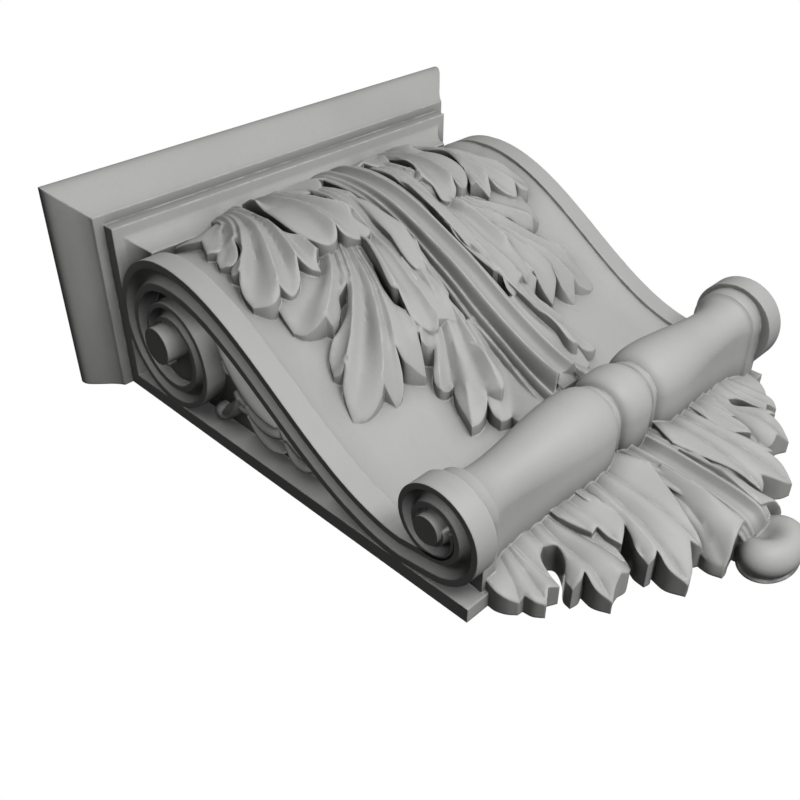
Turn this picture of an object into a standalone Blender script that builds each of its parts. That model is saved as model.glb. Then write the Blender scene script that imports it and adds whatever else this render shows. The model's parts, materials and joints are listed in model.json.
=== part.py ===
# Carved wall bracket (corbel): back plate, scroll body with volutes, cap
# moulding, turned roll and acanthus leaves, carved as one solid.
#
# It is worked out in plate widths in a lying frame: x across, y up the wall,
# z out from the wall. It is stood up and scaled once at the end, so that the
# back is on y = 0 and the front faces -y.
import math

import bmesh
import bpy
import numpy as np
from mathutils import Matrix, Vector
from mathutils.geometry import delaunay_2d_cdt

# Overall size, in metres
PLATE_WIDTH = 0.200
# Height of the origin above the foot of the plate, in plate widths
ORIGIN_UP = 0.55

# Back plate, in plate widths like all sizes below
PLATE_HALF = 0.5
PLATE_EDGE = 0.031
PLATE_MARGIN = 0.04
PLATE_RISE = 0.0035
PLATE_TOP = 1.0

# Scroll body
PANEL_HALF = 0.453
SCROLL_HALF = 0.4995
S_LOW = (0.15, 0.0875)
S_HIGH = (0.8136, 0.3705)
S_REACH = 0.241
S_STEPS = 14
RAIL_INNER = 0.45
RAIL_STEP = 0.009
# Dished field between the rails: drop at its edges and in its middle
FIELD_DROP = 0.028
FIELD_MIDDLE = 0.004
COVE_HALF = 0.385
COVE_STEPS = 2
FIELD_STEPS = 3

# Upper volute: centre, radius at its front, loss of radius per turn
UP_CENTRE = (0.836, 0.1768)
UP_RADIUS = 0.1925
UP_LOSS = 0.0909
UP_TURNS = 1.45
UP_EYE = (0.8445, 0.185)
UP_EYE_RADIUS = 0.041
UP_EYE_RISE = 0.026
# Lower volute: centre, radius at its back, loss of radius per turn
LOW_CENTRE = (0.0878, 0.1557)
LOW_RADIUS = 0.114
LOW_LOSS = 0.0502
LOW_TURNS = 1.3
LOW_EYE = (0.092, 0.156)
LOW_EYE_RADIUS = 0.028
LOW_EYE_RISE = 0.010
TURN_STEPS = 26

# Ribbon of the scroll: two flat rims with a hollow between them
RIBBON_LOW = 0.057
RIBBON_HIGH = 0.066
RIBBON_END = 0.030
RIM_SHARE = 0.25
HOLLOW_DEPTH = 0.018
HOLLOW_POWER = 0.6
HOLLOW_STEPS = 2
VOLUTE_FLOOR = 0.022

# Cap moulding: outward offset from the plate width and height of each point
CAP_FRONT = 0.3888
CAP_FASCIA = (0.0, 1.0253)
CAP_COVE = [(-0.0532, 0.9424), (-0.0492, 0.9628), (-0.0376, 0.9800), (-0.0204, 0.9912), (0.0, 0.995)]
CAP_OGEE = [
    (0.0221, 1.0253), (0.0265, 1.0340), (0.0400, 1.0500), (0.0640, 1.0720),
    (0.0780, 1.0870), (0.0830, 1.0990), (0.0825, 1.1100), (0.0780, 1.1180), (0.0700, 1.1222),
]
CAP_STEPS = 2

# Turned roll: centre line and, for each turned member, the radius along it
ROLL_CENTRE = (0.0815, 0.1620)
ROLL_MEMBERS = [
    [(0.0, 0.0735), (0.022, 0.0725), (0.040, 0.0660), (0.050, 0.0560)],
    [(0.056, 0.0600), (0.064, 0.0600)],
    [(0.066, 0.0600), (0.082, 0.0700), (0.115, 0.0755), (0.220, 0.0680), (0.350, 0.0535), (0.415, 0.0640)],
    [(0.4205, 0.0715), (0.455, 0.0730)],
]
ROLL_STEPS = 14
MEMBER_STEPS = 1

# Leaves. A leaf has a root (x, y, half width), the way it grows there, the
# depth of its flutes (below 0 for lobes with a keel) and how round they are.
# A point of its edge is (x, y, lift, kind): lobes end in a round tip or a sharp
# point, notches part them, sides only steer the edge. Lifts are above the S
# curve of the body; "rise" names more of them inside the leaf.
UPPER_BLADE = {
    "root": (0.300, 0.905, 0.020), "way": (1.0, -0.3), "flute": 0.006, "power": 1.6, "root_lift": 0.010,
    "edge": [
        (0.310, 0.945, 0.0, "notch"), (0.401, 0.930, -0.008, "point"), (0.390, 0.898, -0.005, "side"),
        (0.371, 0.868, -0.003, "notch"), (0.396, 0.814, -0.002, "point"), (0.376, 0.801, 0.0, "side"),
        (0.350, 0.822, 0.0, "side"), (0.325, 0.860, 0.004, "notch"),
    ],
}
UPPER_OUTER = {
    "root": (0.262, 0.905, 0.030), "way": (0.1, -1.0), "flute": 0.018, "power": 1.6, "root_lift": 0.026,
    "edge": [
        (0.308, 0.885, 0.012, "notch"), (0.356, 0.828, 0.002, "side"), (0.393, 0.786, 0.000, "side"),
        (0.404, 0.760, 0.000, "point"), (0.384, 0.743, 0.006, "side"), (0.364, 0.752, 0.010, "side"),
        (0.336, 0.800, 0.016, "notch"), (0.360, 0.748, 0.012, "side"), (0.394, 0.737, 0.004, "side"),
        (0.406, 0.720, 0.003, "point"), (0.396, 0.708, 0.006, "notch"), (0.410, 0.690, 0.005, "side"),
        (0.420, 0.664, 0.006, "side"), (0.421, 0.638, 0.008, "point"), (0.390, 0.617, 0.015, "side"),
        (0.366, 0.622, 0.020, "side"), (0.358, 0.633, 0.022, "notch"), (0.344, 0.613, 0.024, "tip"),
        (0.325, 0.616, 0.027, "side"), (0.306, 0.632, 0.030, "side"), (0.289, 0.660, 0.034, "notch"),
        (0.276, 0.638, 0.036, "side"), (0.258, 0.624, 0.038, "point"), (0.252, 0.643, 0.040, "side"),
        (0.243, 0.653, 0.042, "notch"), (0.231, 0.661, 0.042, "point"), (0.247, 0.697, 0.044, "side"),
        (0.263, 0.730, 0.044, "side"), (0.268, 0.780, 0.040, "side"), (0.254, 0.850, 0.030, "notch"),
    ],
}
UPPER_INNER = {
    "root": (0.178, 0.915, 0.035), "way": (0.0, -1.0), "flute": 0.018, "power": 1.6, "root_lift": 0.028,
    "edge": [
        (0.232, 0.860, 0.034, "notch"), (0.251, 0.760, 0.047, "side"), (0.248, 0.702, 0.051, "side"),
        (0.229, 0.670, 0.053, "side"), (0.210, 0.656, 0.053, "tip"), (0.192, 0.652, 0.054, "side"),
        (0.182, 0.658, 0.055, "side"), (0.176, 0.670, 0.058, "notch"), (0.167, 0.648, 0.060, "side"),
        (0.140, 0.632, 0.062, "tip"), (0.118, 0.630, 0.065, "side"), (0.108, 0.640, 0.064, "side"),
        (0.119, 0.677, 0.060, "side"), (0.110, 0.699, 0.058, "notch"), (0.092, 0.710, 0.057, "point"),
        (0.126, 0.738, 0.055, "side"), (0.142, 0.800, 0.046, "side"), (0.142, 0.870, 0.034, "notch"),
    ],
}
CURL = {
    "root": (0.158, 0.890, 0.022), "way": (-1.0, 0.2), "flute": 0.010, "power": 1.6, "root_lift": 0.034,
    "edge": [
        (0.150, 0.860, 0.036, "notch"), (0.130, 0.824, 0.042, "side"), (0.100, 0.811, 0.045, "tip"),
        (0.077, 0.824, 0.045, "side"), (0.068, 0.846, 0.043, "notch"), (0.047, 0.844, 0.043, "side"),
        (0.030, 0.868, 0.041, "tip"), (0.042, 0.896, 0.038, "side"), (0.085, 0.908, 0.034, "side"),
        (0.140, 0.918, 0.032, "notch"),
    ],
}
MIDDLE = {
    "root": (0.150, 0.760, 0.040), "way": (0.05, -1.0), "flute": 0.020, "power": 1.6, "root_lift": 0.042,
    "edge": [
        (0.300, 0.720, 0.014, "notch"), (0.368, 0.650, 0.000, "side"), (0.377, 0.605, -0.001, "side"),
        (0.378, 0.574, -0.003, "point"), (0.365, 0.557, 0.000, "side"), (0.345, 0.547, 0.011, "side"),
        (0.320, 0.543, 0.026, "notch"), (0.310, 0.531, 0.022, "point"), (0.295, 0.534, 0.025, "side"),
        (0.276, 0.549, 0.028, "side"), (0.261, 0.568, 0.033, "side"), (0.231, 0.578, 0.036, "notch"),
        (0.250, 0.556, 0.034, "side"), (0.271, 0.537, 0.028, "side"), (0.303, 0.5255, 0.018, "side"),
        (0.329, 0.517, 0.010, "side"), (0.353, 0.499, 0.004, "side"), (0.367, 0.472, 0.001, "point"),
        (0.356, 0.461, 0.010, "side"), (0.345, 0.463, 0.018, "notch"), (0.366, 0.448, 0.004, "side"),
        (0.377, 0.427, -0.005, "side"), (0.385, 0.400, -0.011, "point"), (0.368, 0.389, -0.008, "side"),
        (0.343, 0.387, 0.000, "side"), (0.316, 0.393, 0.010, "side"), (0.303, 0.400, 0.017, "notch"),
        (0.288, 0.376, -0.005, "point"), (0.266, 0.384, 0.018, "side"), (0.253, 0.400, 0.037, "side"),
        (0.244, 0.428, 0.057, "notch"), (0.241, 0.407, 0.050, "side"), (0.227, 0.395, 0.040, "side"),
        (0.204, 0.382, 0.027, "point"), (0.195, 0.397, 0.042, "side"), (0.188, 0.413, 0.054, "side"),
        (0.184, 0.428, 0.061, "notch"), (0.166, 0.430, 0.060, "point"), (0.167, 0.460, 0.060, "side"),
        (0.182, 0.500, 0.060, "side"), (0.174, 0.542, 0.050, "side"), (0.110, 0.660, 0.040, "notch"),
    ],
    "rise": [(0.180, 0.630, 0.024), (0.240, 0.650, 0.016)],
}
INNER = {
    "root": (0.092, 0.850, 0.030), "way": (0.0, -1.0), "flute": 0.015, "power": 1.6, "root_lift": 0.038,
    "edge": [
        (0.125, 0.690, 0.052, "notch"), (0.144, 0.615, 0.060, "side"), (0.158, 0.562, 0.066, "side"),
        (0.174, 0.512, 0.070, "side"), (0.168, 0.496, 0.071, "notch"), (0.171, 0.476, 0.071, "side"),
        (0.175, 0.454, 0.071, "side"), (0.167, 0.430, 0.070, "side"), (0.147, 0.413, 0.070, "tip"),
        (0.139, 0.412, 0.074, "side"), (0.132, 0.418, 0.077, "notch"), (0.115, 0.413, 0.080, "side"),
        (0.095, 0.400, 0.083, "side"), (0.075, 0.392, 0.087, "point"), (0.071, 0.408, 0.088, "side"),
        (0.082, 0.438, 0.086, "notch"), (0.070, 0.448, 0.088, "point"), (0.062, 0.480, 0.086, "side"),
        (0.050, 0.560, 0.076, "notch"),
    ],
    "rise": [(0.100, 0.520, 0.064), (0.130, 0.630, 0.044)],
}
LEAFLET = {
    "root": (0.074, 0.700, 0.012), "way": (0.0, -1.0), "flute": 0.004, "power": 1.6, "root_lift": 0.060,
    "edge": [
        (0.088, 0.600, 0.070, "notch"), (0.097, 0.550, 0.074, "side"), (0.095, 0.522, 0.076, "side"),
        (0.084, 0.510, 0.077, "tip"), (0.069, 0.507, 0.078, "side"), (0.059, 0.516, 0.080, "side"),
        (0.056, 0.545, 0.082, "side"), (0.050, 0.600, 0.080, "notch"),
    ],
}
LOWER = {
    "root": (0.085, 0.560, 0.030), "way": (0.05, -1.0), "flute": -0.016, "power": 0.9, "root_lift": 0.066,
    "edge": [
        (0.150, 0.480, 0.056, "notch"), (0.183, 0.417, 0.046, "point"), (0.160, 0.403, 0.041, "notch"),
        (0.170, 0.393, 0.027, "side"), (0.185, 0.380, 0.018, "side"), (0.197, 0.364, 0.010, "side"),
        (0.198, 0.348, 0.008, "tip"), (0.186, 0.340, 0.014, "side"), (0.167, 0.341, 0.023, "notch"),
        (0.178, 0.328, 0.018, "side"), (0.189, 0.305, 0.013, "side"), (0.196, 0.280, 0.009, "side"),
        (0.204, 0.257, 0.006, "point"), (0.187, 0.253, 0.014, "side"), (0.168, 0.257, 0.025, "side"),
        (0.153, 0.264, 0.040, "side"), (0.141, 0.276, 0.060, "notch"), (0.132, 0.262, 0.059, "side"),
        (0.124, 0.252, 0.057, "point"), (0.112, 0.257, 0.066, "side"), (0.105, 0.270, 0.073, "side"),
        (0.103, 0.300, 0.082, "side"), (0.096, 0.340, 0.086, "notch"),
    ],
}
FOOT = {
    "root": (0.055, 0.400, 0.030), "way": (0.02, -1.0), "flute": -0.008, "power": 0.9, "root_lift": 0.074,
    "edge": [
        (0.128, 0.300, 0.060, "notch"), (0.149, 0.260, 0.030, "side"), (0.147, 0.231, 0.015, "point"),
        (0.133, 0.226, 0.022, "side"), (0.122, 0.225, 0.030, "notch"), (0.130, 0.203, 0.034, "side"),
        (0.134, 0.175, 0.038, "side"), (0.130, 0.105, 0.044, "point"), (0.030, 0.105, 0.060, "notch"),
    ],
    "rise": [(0.100, 0.270, 0.046), (0.070, 0.330, 0.062), (0.105, 0.170, 0.046)],
}
# Leaves of the tail below the plate, with heights above the wall
TAIL_SIDE = {
    "root": (0.320, 0.070, 0.080), "way": (0.1, -1.0), "flute": 0.014, "power": 0.6, "root_lift": 0.084,
    "edge": [
        (0.440, 0.030, 0.056, "notch"), (0.447, -0.012, 0.048, "side"), (0.440, -0.034, 0.040, "side"),
        (0.427, -0.050, 0.034, "point"), (0.415, -0.051, 0.040, "notch"), (0.412, -0.070, 0.039, "side"),
        (0.399, -0.087, 0.038, "point"), (0.378, -0.072, 0.047, "notch"), (0.358, -0.082, 0.048, "point"),
        (0.352, -0.055, 0.052, "side"), (0.338, -0.024, 0.058, "side"), (0.317, -0.012, 0.062, "notch"),
        (0.301, -0.030, 0.063, "side"), (0.318, -0.060, 0.061, "side"), (0.342, -0.084, 0.058, "side"),
        (0.348, -0.102, 0.057, "point"), (0.334, -0.107, 0.061, "side"), (0.320, -0.102, 0.065, "notch"),
        (0.325, -0.130, 0.050, "side"), (0.313, -0.160, 0.036, "point"), (0.293, -0.150, 0.046, "side"),
        (0.274, -0.146, 0.057, "notch"), (0.254, -0.149, 0.050, "side"), (0.234, -0.141, 0.046, "point"),
        (0.229, -0.110, 0.060, "side"), (0.222, -0.040, 0.074, "notch"),
    ],
}
TAIL_LOBE = {
    "root": (0.225, 0.060, 0.035), "way": (0.0, -1.0), "flute": 0.010, "power": 0.6, "root_lift": 0.095,
    "edge": [
        (0.262, 0.000, 0.086, "notch"), (0.253, -0.040, 0.085, "side"), (0.246, -0.064, 0.084, "point"),
        (0.232, -0.062, 0.085, "notch"), (0.234, -0.090, 0.082, "side"), (0.227, -0.113, 0.080, "point"),
        (0.200, -0.098, 0.083, "side"), (0.180, -0.080, 0.086, "side"), (0.180, -0.020, 0.094, "notch"),
    ],
}
TAIL_MIDDLE = {
    "root": (0.140, 0.060, 0.060), "way": (0.05, -1.0), "flute": 0.017, "power": 0.6, "root_lift": 0.104,
    "edge": [
        (0.200, -0.010, 0.094, "notch"), (0.186, -0.074, 0.086, "side"), (0.198, -0.110, 0.080, "side"),
        (0.217, -0.140, 0.071, "side"), (0.221, -0.165, 0.064, "point"), (0.207, -0.168, 0.066, "side"),
        (0.195, -0.163, 0.068, "notch"), (0.202, -0.195, 0.054, "side"), (0.189, -0.229, 0.040, "point"),
        (0.168, -0.222, 0.046, "side"), (0.147, -0.205, 0.056, "side"), (0.127, -0.188, 0.063, "notch"),
        (0.118, -0.200, 0.058, "side"), (0.107, -0.206, 0.054, "point"), (0.098, -0.185, 0.066, "side"),
        (0.086, -0.150, 0.082, "side"), (0.064, -0.100, 0.095, "side"), (0.040, -0.040, 0.104, "notch"),
    ],
}
TAIL_INNER = {
    "root": (0.060, -0.060, 0.030), "way": (0.0, -1.0), "flute": 0.012, "power": 0.6, "root_lift": 0.088,
    "edge": [
        (0.092, -0.140, 0.066, "notch"), (0.104, -0.185, 0.040, "side"), (0.112, -0.225, 0.031, "side"),
        (0.105, -0.251, 0.031, "point"), (0.090, -0.250, 0.052, "side"), (0.072, -0.244, 0.070, "side"),
        (0.030, -0.235, 0.076, "notch"),
    ],
    "rise": [(0.070, -0.180, 0.080)],
}
BODY_LEAVES = [
    UPPER_BLADE, UPPER_OUTER, UPPER_INNER, CURL, MIDDLE, INNER, LEAFLET, LOWER, FOOT,
]
TAIL_LEAVES = [TAIL_SIDE, TAIL_LOBE, TAIL_MIDDLE, TAIL_INNER]
SHARP_KINDS = ("notch", "point")

# Midrib of the body: height, half width, lift of its two rims and drop of its
# flanks below them. Between the rims runs a trough: (x, drop) across it, then
# share of the way from the rim to the edge and share of the flank's drop.
STEM_LINE = [
    (0.935, 0.056, 0.030, 0.004), (0.860, 0.056, 0.048, 0.006), (0.760, 0.056, 0.060, 0.010),
    (0.670, 0.056, 0.074, 0.014), (0.560, 0.058, 0.090, 0.022), (0.470, 0.062, 0.106, 0.026),
    (0.400, 0.066, 0.110, 0.032), (0.330, 0.062, 0.110, 0.044), (0.265, 0.070, 0.106, 0.050),
    (0.205, 0.090, 0.100, 0.050),
]
TROUGH = [(0.0, 0.012), (0.020, 0.004), (0.028, 0.000)]
FLANK = [(0.34, 1.0), (0.72, 0.80), (1.0, 1.15)]
# How much lower the sides of the midrib end than its middle
STEM_SKEW = 0.045
# Midrib of the tail, heights above the wall, and the bud at its end
RIB_LINE = [
    (0.045, 0.062, 0.112, 0.008), (-0.040, 0.062, 0.110, 0.008), (-0.120, 0.060, 0.103, 0.010),
    (-0.190, 0.056, 0.094, 0.012), (-0.235, 0.052, 0.082, 0.012), (-0.258, 0.048, 0.058, 0.010),
]
BUD_CENTRE = (0.0, -0.284, 0.030)
BUD_RADII = (0.074, 0.054, 0.048)
# Hollow on the upper side of the bud: height up the wall, reach and depth
BUD_HOLLOW = (-0.262, 0.034, 0.034)
BUD_RINGS = 5
BUD_STEPS = 16

# Leaf surfaces
LEAF_ROOT = 0.030
EDGE_STEP = 0.05
RIM_WIDTH = 0.004
FLUTE_SPAN = 0.030
LINE_STEPS = 3
LINE_PARTS = 1
RIB_STEPS = 1
LIFT_EASE = 0.0001

# Small leaves in the side panels: foot, tip, bend and half width in the side
# plane, and the rise above the panel
HUSKS = [
    (0.700, 0.240, 0.525, 0.112, 0.016, 0.015, 0.034),
    (0.628, 0.120, 0.494, 0.110, 0.018, 0.014, 0.032),
    (0.622, 0.098, 0.510, 0.058, 0.013, 0.012, 0.030),
    (0.508, 0.090, 0.412, 0.074, 0.024, 0.012, 0.028),
    (0.650, 0.128, 0.716, 0.056, -0.012, 0.016, 0.030),
]
HUSK_STEPS = 4
HUSK_SIDES = 3
# Ball at the end of the last of them: centre, radius and rise
BALL = (0.716, 0.056, 0.021, 0.030)
BALL_STEPS = 8

# Small distances: how deep one form is rooted in another
ROOT = 0.01
WELD = 0.00001
# Wood behind the wall face, which is cut away flat at the end
WASTE = 0.02
SHARP_ANGLE = 32.0


def bezier(p0, p1, p2, p3, t):
    s = 1 - t
    return tuple(
        s ** 3 * a + 3 * s * s * t * b + 3 * s * t * t * c + t ** 3 * d
        for a, b, c, d in zip(p0, p1, p2, p3)
    )


def smooth_line(points, steps):
    # Curve through all points, with steps parts between each two of them
    out = []
    last = len(points) - 1
    for i in range(last):
        a, b = points[i], points[i + 1]
        before = points[i - 1] if i else a
        after = points[i + 2] if i + 2 <= last else b
        pull_a = tuple(p + (q - o) / 6 for p, o, q in zip(a, before, b))
        pull_b = tuple(q - (n - p) / 6 for p, q, n in zip(a, b, after))
        out += [bezier(a, pull_a, pull_b, b, k / steps) for k in range(steps)]
    return out + [tuple(points[-1])]


def s_point(t):
    low_pull = (S_LOW[0] + S_REACH, S_LOW[1])
    high_pull = (S_HIGH[0] - S_REACH, S_HIGH[1])
    return bezier(S_LOW, low_pull, high_pull, S_HIGH, t)


S_CURVE = np.array([s_point(i / 200) for i in range(201)])


def s_height(y):
    # Distance of the body's front from the wall at height y
    y = np.asarray(y, dtype=float)
    reach = UP_RADIUS + 0.0015
    drum = np.sqrt(np.maximum(reach ** 2 - (y - UP_CENTRE[0]) ** 2, 0.01)) + UP_CENTRE[1]
    line = np.interp(y, S_CURVE[:, 0], S_CURVE[:, 1])
    return np.where(y >= S_HIGH[0], drum, line)


def upper_radius(turn):
    return UP_RADIUS - UP_LOSS * turn


def lower_radius(turn):
    return LOW_RADIUS - LOW_LOSS * turn


def upper_point(turn, inset):
    # Turn 0 is the front of the volute, a quarter turn on is its top
    angle = math.pi / 2 - 2 * math.pi * turn
    radius = upper_radius(turn) - inset
    return (UP_CENTRE[0] + radius * math.cos(angle), UP_CENTRE[1] + radius * math.sin(angle))


def lower_point(turn, inset):
    # Turn 0 is the back of the volute, a quarter turn on is its foot
    angle = -math.pi / 2 - 2 * math.pi * turn
    radius = lower_radius(turn) - inset
    return (LOW_CENTRE[0] + radius * math.cos(angle), LOW_CENTRE[1] + radius * math.sin(angle))


def offset_point(points, index, distance):
    # Point moved to the right-hand side of the path
    before = Vector(points[max(index - 1, 0)])
    after = Vector(points[min(index + 1, len(points) - 1)])
    along = (after - before).normalized()
    here = Vector(points[index])
    return tuple(here + Vector((along.y, -along.x)) * distance)


def ribbon_stations():
    # Pairs (front edge, back edge) of the ribbon, from inside the lower
    # volute, along the S and into the upper volute
    stations = []
    low_count = round(LOW_TURNS * TURN_STEPS)
    for i in range(low_count, 0, -1):
        turn = i / TURN_STEPS
        width = RIBBON_LOW + (RIBBON_END - RIBBON_LOW) * turn / LOW_TURNS
        stations.append((lower_point(turn, width), lower_point(turn, 0)))
    front = [s_point(i / S_STEPS) for i in range(S_STEPS + 1)]
    for i in range(1, S_STEPS):
        share = i / S_STEPS
        width = RIBBON_LOW + (RIBBON_HIGH - RIBBON_LOW) * share
        stations.append((front[i], offset_point(front, i, width)))
    up_count = round(UP_TURNS * TURN_STEPS)
    for i in range(0, up_count + 1):
        turn = i / TURN_STEPS
        width = RIBBON_HIGH + (RIBBON_END - RIBBON_HIGH) * turn / UP_TURNS
        stations.append((upper_point(turn, 0), upper_point(turn, width)))
    return stations


def loft(rings):
    # Closed solid through rings of equal length, capped at both ends
    count = len(rings[0])
    verts = [p for ring in rings for p in ring]
    faces = []
    for row in range(len(rings) - 1):
        for i in range(count):
            j = (i + 1) % count
            a = row * count
            faces.append((a + i, a + j, a + count + j, a + count + i))
    faces.append(tuple(reversed(range(count))))
    end = (len(rings) - 1) * count
    faces.append(tuple(range(end, end + count)))
    return verts, faces


def prism_x(outline, x0, x1):
    return loft([[(x, y, z) for y, z in outline] for x in (x0, x1)])


def plate():
    inner = PLATE_HALF - PLATE_MARGIN
    rise = PLATE_EDGE + PLATE_RISE
    rings = []
    for half, foot, height in (
        (PLATE_HALF, 0, -WASTE), (PLATE_HALF, 0, PLATE_EDGE), (inner, PLATE_MARGIN, rise)
    ):
        rings.append([
            (-half, foot, height), (half, foot, height),
            (half, PLATE_TOP, height), (-half, PLATE_TOP, height),
        ])
    return loft(rings)


def cap():
    profile = smooth_line(CAP_COVE, CAP_STEPS) + [CAP_FASCIA] + smooth_line(CAP_OGEE, CAP_STEPS)
    rings = []
    for offset, y in profile:
        half = PLATE_HALF + offset
        front = CAP_FRONT + offset
        rings.append([(-half, y, front), (half, y, front), (half, y, -WASTE), (-half, y, -WASTE)])
    return loft(rings)


def front_section(y):
    # Points across the front of the body at height y: step, cove, dished field
    top = float(s_height(y))
    xs = [(-PANEL_HALF, top - RAIL_STEP)]
    for i in range(COVE_STEPS):
        share = i / COVE_STEPS
        depth = RAIL_STEP + (FIELD_DROP - RAIL_STEP) * math.sin(share * math.pi / 2)
        xs.append((-RAIL_INNER + share * (RAIL_INNER - COVE_HALF), top - depth))
    for i in range(FIELD_STEPS):
        share = 1 - i / FIELD_STEPS
        depth = FIELD_MIDDLE + (FIELD_DROP - FIELD_MIDDLE) * share ** 2
        xs.append((-COVE_HALF * share, top - depth))
    return xs + [(0, top - FIELD_MIDDLE)] + [(-x, z) for x, z in reversed(xs)]


def core():
    # The body between the side panels, from the roll to the cap
    heights = [0.035, 0.09]
    heights += [s_point(i / S_STEPS)[0] for i in range(S_STEPS + 1)]
    heights += [0.835 + 0.02 * i for i in range(7)]
    rings = []
    for y in heights:
        top = [(x, y, z) for x, z in front_section(y)]
        rings.append(top + [(PANEL_HALF, y, ROOT), (-PANEL_HALF, y, ROOT)])
    return loft(rings)


def ribbon_section():
    # Share of the width and depth below the face: rim, round hollow, rim
    section = [(0.0, 0.0), (RIM_SHARE, 0.0)]
    for i in range(1, HOLLOW_STEPS):
        share = i / HOLLOW_STEPS
        depth = HOLLOW_DEPTH * math.sin(math.pi * share) ** HOLLOW_POWER
        section.append((RIM_SHARE + share * (1 - 2 * RIM_SHARE), depth))
    return section + [(1 - RIM_SHARE, 0.0), (1.0, 0.0)]


def ribbon(side):
    rings = []
    section = ribbon_section()
    for front, back in ribbon_stations():
        f = Vector(front)
        b = Vector(back)
        ring = []
        for share, depth in section:
            p = f.lerp(b, share)
            ring.append((side * (SCROLL_HALF - depth), p.x, p.y))
        ring.append((side * RAIL_INNER, b.x, b.y))
        ring.append((side * RAIL_INNER, f.x, f.y))
        rings.append(ring)
    return loft(rings)


def circle(centre, radius, count):
    return [
        (centre[0] + radius * math.cos(2 * math.pi * i / count),
         centre[1] + radius * math.sin(2 * math.pi * i / count))
        for i in range(count)
    ]


def disc(side, centre, radius, face):
    low, high = sorted((side * (PANEL_HALF - ROOT), side * face))
    return prism_x(circle(centre, radius, TURN_STEPS), low, high)


def volute_floors(side):
    # The floors between the turns and the eyes in the middle
    floor = SCROLL_HALF - VOLUTE_FLOOR
    return [
        disc(side, UP_CENTRE, upper_radius(1) - 0.004, floor),
        disc(side, UP_EYE, UP_EYE_RADIUS, SCROLL_HALF + UP_EYE_RISE),
        disc(side, LOW_CENTRE, lower_radius(1) - 0.004, floor),
        disc(side, LOW_EYE, LOW_EYE_RADIUS, SCROLL_HALF + LOW_EYE_RISE),
    ]


def roll_ring(x, radius):
    # Half-round toward the front and side, then a straight wall to the plate
    ring = []
    for i in range(ROLL_STEPS + 1):
        angle = math.pi - math.pi * 1.2 * i / ROLL_STEPS
        ring.append((
            x,
            ROLL_CENTRE[0] + radius * math.cos(angle),
            ROLL_CENTRE[1] + radius * math.sin(angle),
        ))
    ring.append((x, ROLL_CENTRE[0] + radius * 0.5, ROOT))
    ring.append((x, ROLL_CENTRE[0] - radius, ROOT))
    return ring


def roll():
    half = []
    for member in ROLL_MEMBERS:
        half += smooth_line(member, MEMBER_STEPS)
    places = [(-x, r) for x, r in reversed(half)] + half
    kept = [places[0]]
    for x, r in places[1:]:
        if x > kept[-1][0] + 0.0002:
            kept.append((x, r))
    return loft([roll_ring(x, r) for x, r in kept])


def smooth_run(points):
    # Points close together on a curve through all points, the last left out
    places = [Vector(p) for p in points]
    lengths = [(b - a).length for a, b in zip(places, places[1:])]
    ways = []
    for i in range(len(places)):
        before, after = max(i - 1, 0), min(i + 1, len(places) - 1)
        ways.append((places[after] - places[before]) / sum(lengths[before:after]))
    out = []
    for i, length in enumerate(lengths):
        a, b = places[i], places[i + 1]
        pull_a = a + ways[i] * length / 3
        pull_b = b - ways[i + 1] * length / 3
        steps = math.ceil(length / EDGE_STEP)
        out += [bezier(a, pull_a, pull_b, b, k / steps) for k in range(steps)]
    return out


def leaf_edge(leaf):
    # Closed edge of the leaf, root included
    rows = leaf["edge"]
    x, y, half = leaf["root"]
    way = Vector(leaf["way"]).normalized()
    across = Vector((-way.y, way.x))
    if (Vector(rows[0][:2]) - Vector(rows[-1][:2])).dot(across) < 0:
        across.negate()
    root = Vector((x, y))
    loop = [tuple(root + across * half)]
    run = []
    for row in rows:
        run.append(row[:2])
        if row[3] in SHARP_KINDS:
            if len(run) > 1:
                loop += smooth_run(run)
            run = [row[:2]]
    loop += [tuple(rows[-1][:2]), tuple(root - across * half)]
    if sum(a[0] * b[1] - b[0] * a[1] for a, b in zip(loop, loop[1:] + loop[:1])) < 0:
        loop.reverse()
    return loop, across


def flow_line(leaf, across, row, share):
    # Line from the root of the leaf to one of its tips or notches
    x, y, half = leaf["root"]
    way = Vector(leaf["way"]).normalized()
    start = Vector((x, y)) + across * half * share
    end = Vector(row[:2])
    pull = start + way * (end - start).length * 0.5
    line = []
    for i in range(LINE_STEPS + 1):
        t = i / LINE_STEPS
        p = start * (1 - t) ** 2 + pull * 2 * t * (1 - t) + end * t * t
        line.append((p.x, p.y))
    return line


def flow_lines(leaf, across):
    # The hollow of each lobe runs to its end, the ridges run to the notches
    rows = leaf["edge"]
    last = len(rows) - 1
    hollows = []
    ridges = []
    for i, row in enumerate(rows):
        line = flow_line(leaf, across, row, 1 - 2 * i / last)
        if row[3] in ("tip", "point"):
            hollows.append(line)
        elif row[3] == "notch":
            ridges.append(line)
    return hollows, ridges


def line_distance(points, lines):
    # Distance of each point from the nearest of the lines
    starts = np.concatenate([np.array(line[:-1]) for line in lines])
    ends = np.concatenate([np.array(line[1:]) for line in lines])
    best = np.full(len(points), 1e9)
    for a, b in zip(starts, ends):
        along = b - a
        share = np.clip(((points - a) @ along) / max(along @ along, 1e-12), 0, 1)
        away = points - (a + share[:, None] * along)
        best = np.minimum(best, np.hypot(away[:, 0], away[:, 1]))
    return best


def inside(points, rim):
    # Whether each point is inside the closed rim, given as pairs of points
    hits = np.zeros(len(points), dtype=int)
    for (ax, ay), (bx, by) in rim:
        if ay == by:
            continue
        spans = (points[:, 1] > min(ay, by)) & (points[:, 1] <= max(ay, by))
        cross = ax + (points[:, 1] - ay) * (bx - ax) / (by - ay)
        hits += spans & (cross > points[:, 0])
    return hits % 2 == 1


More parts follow.
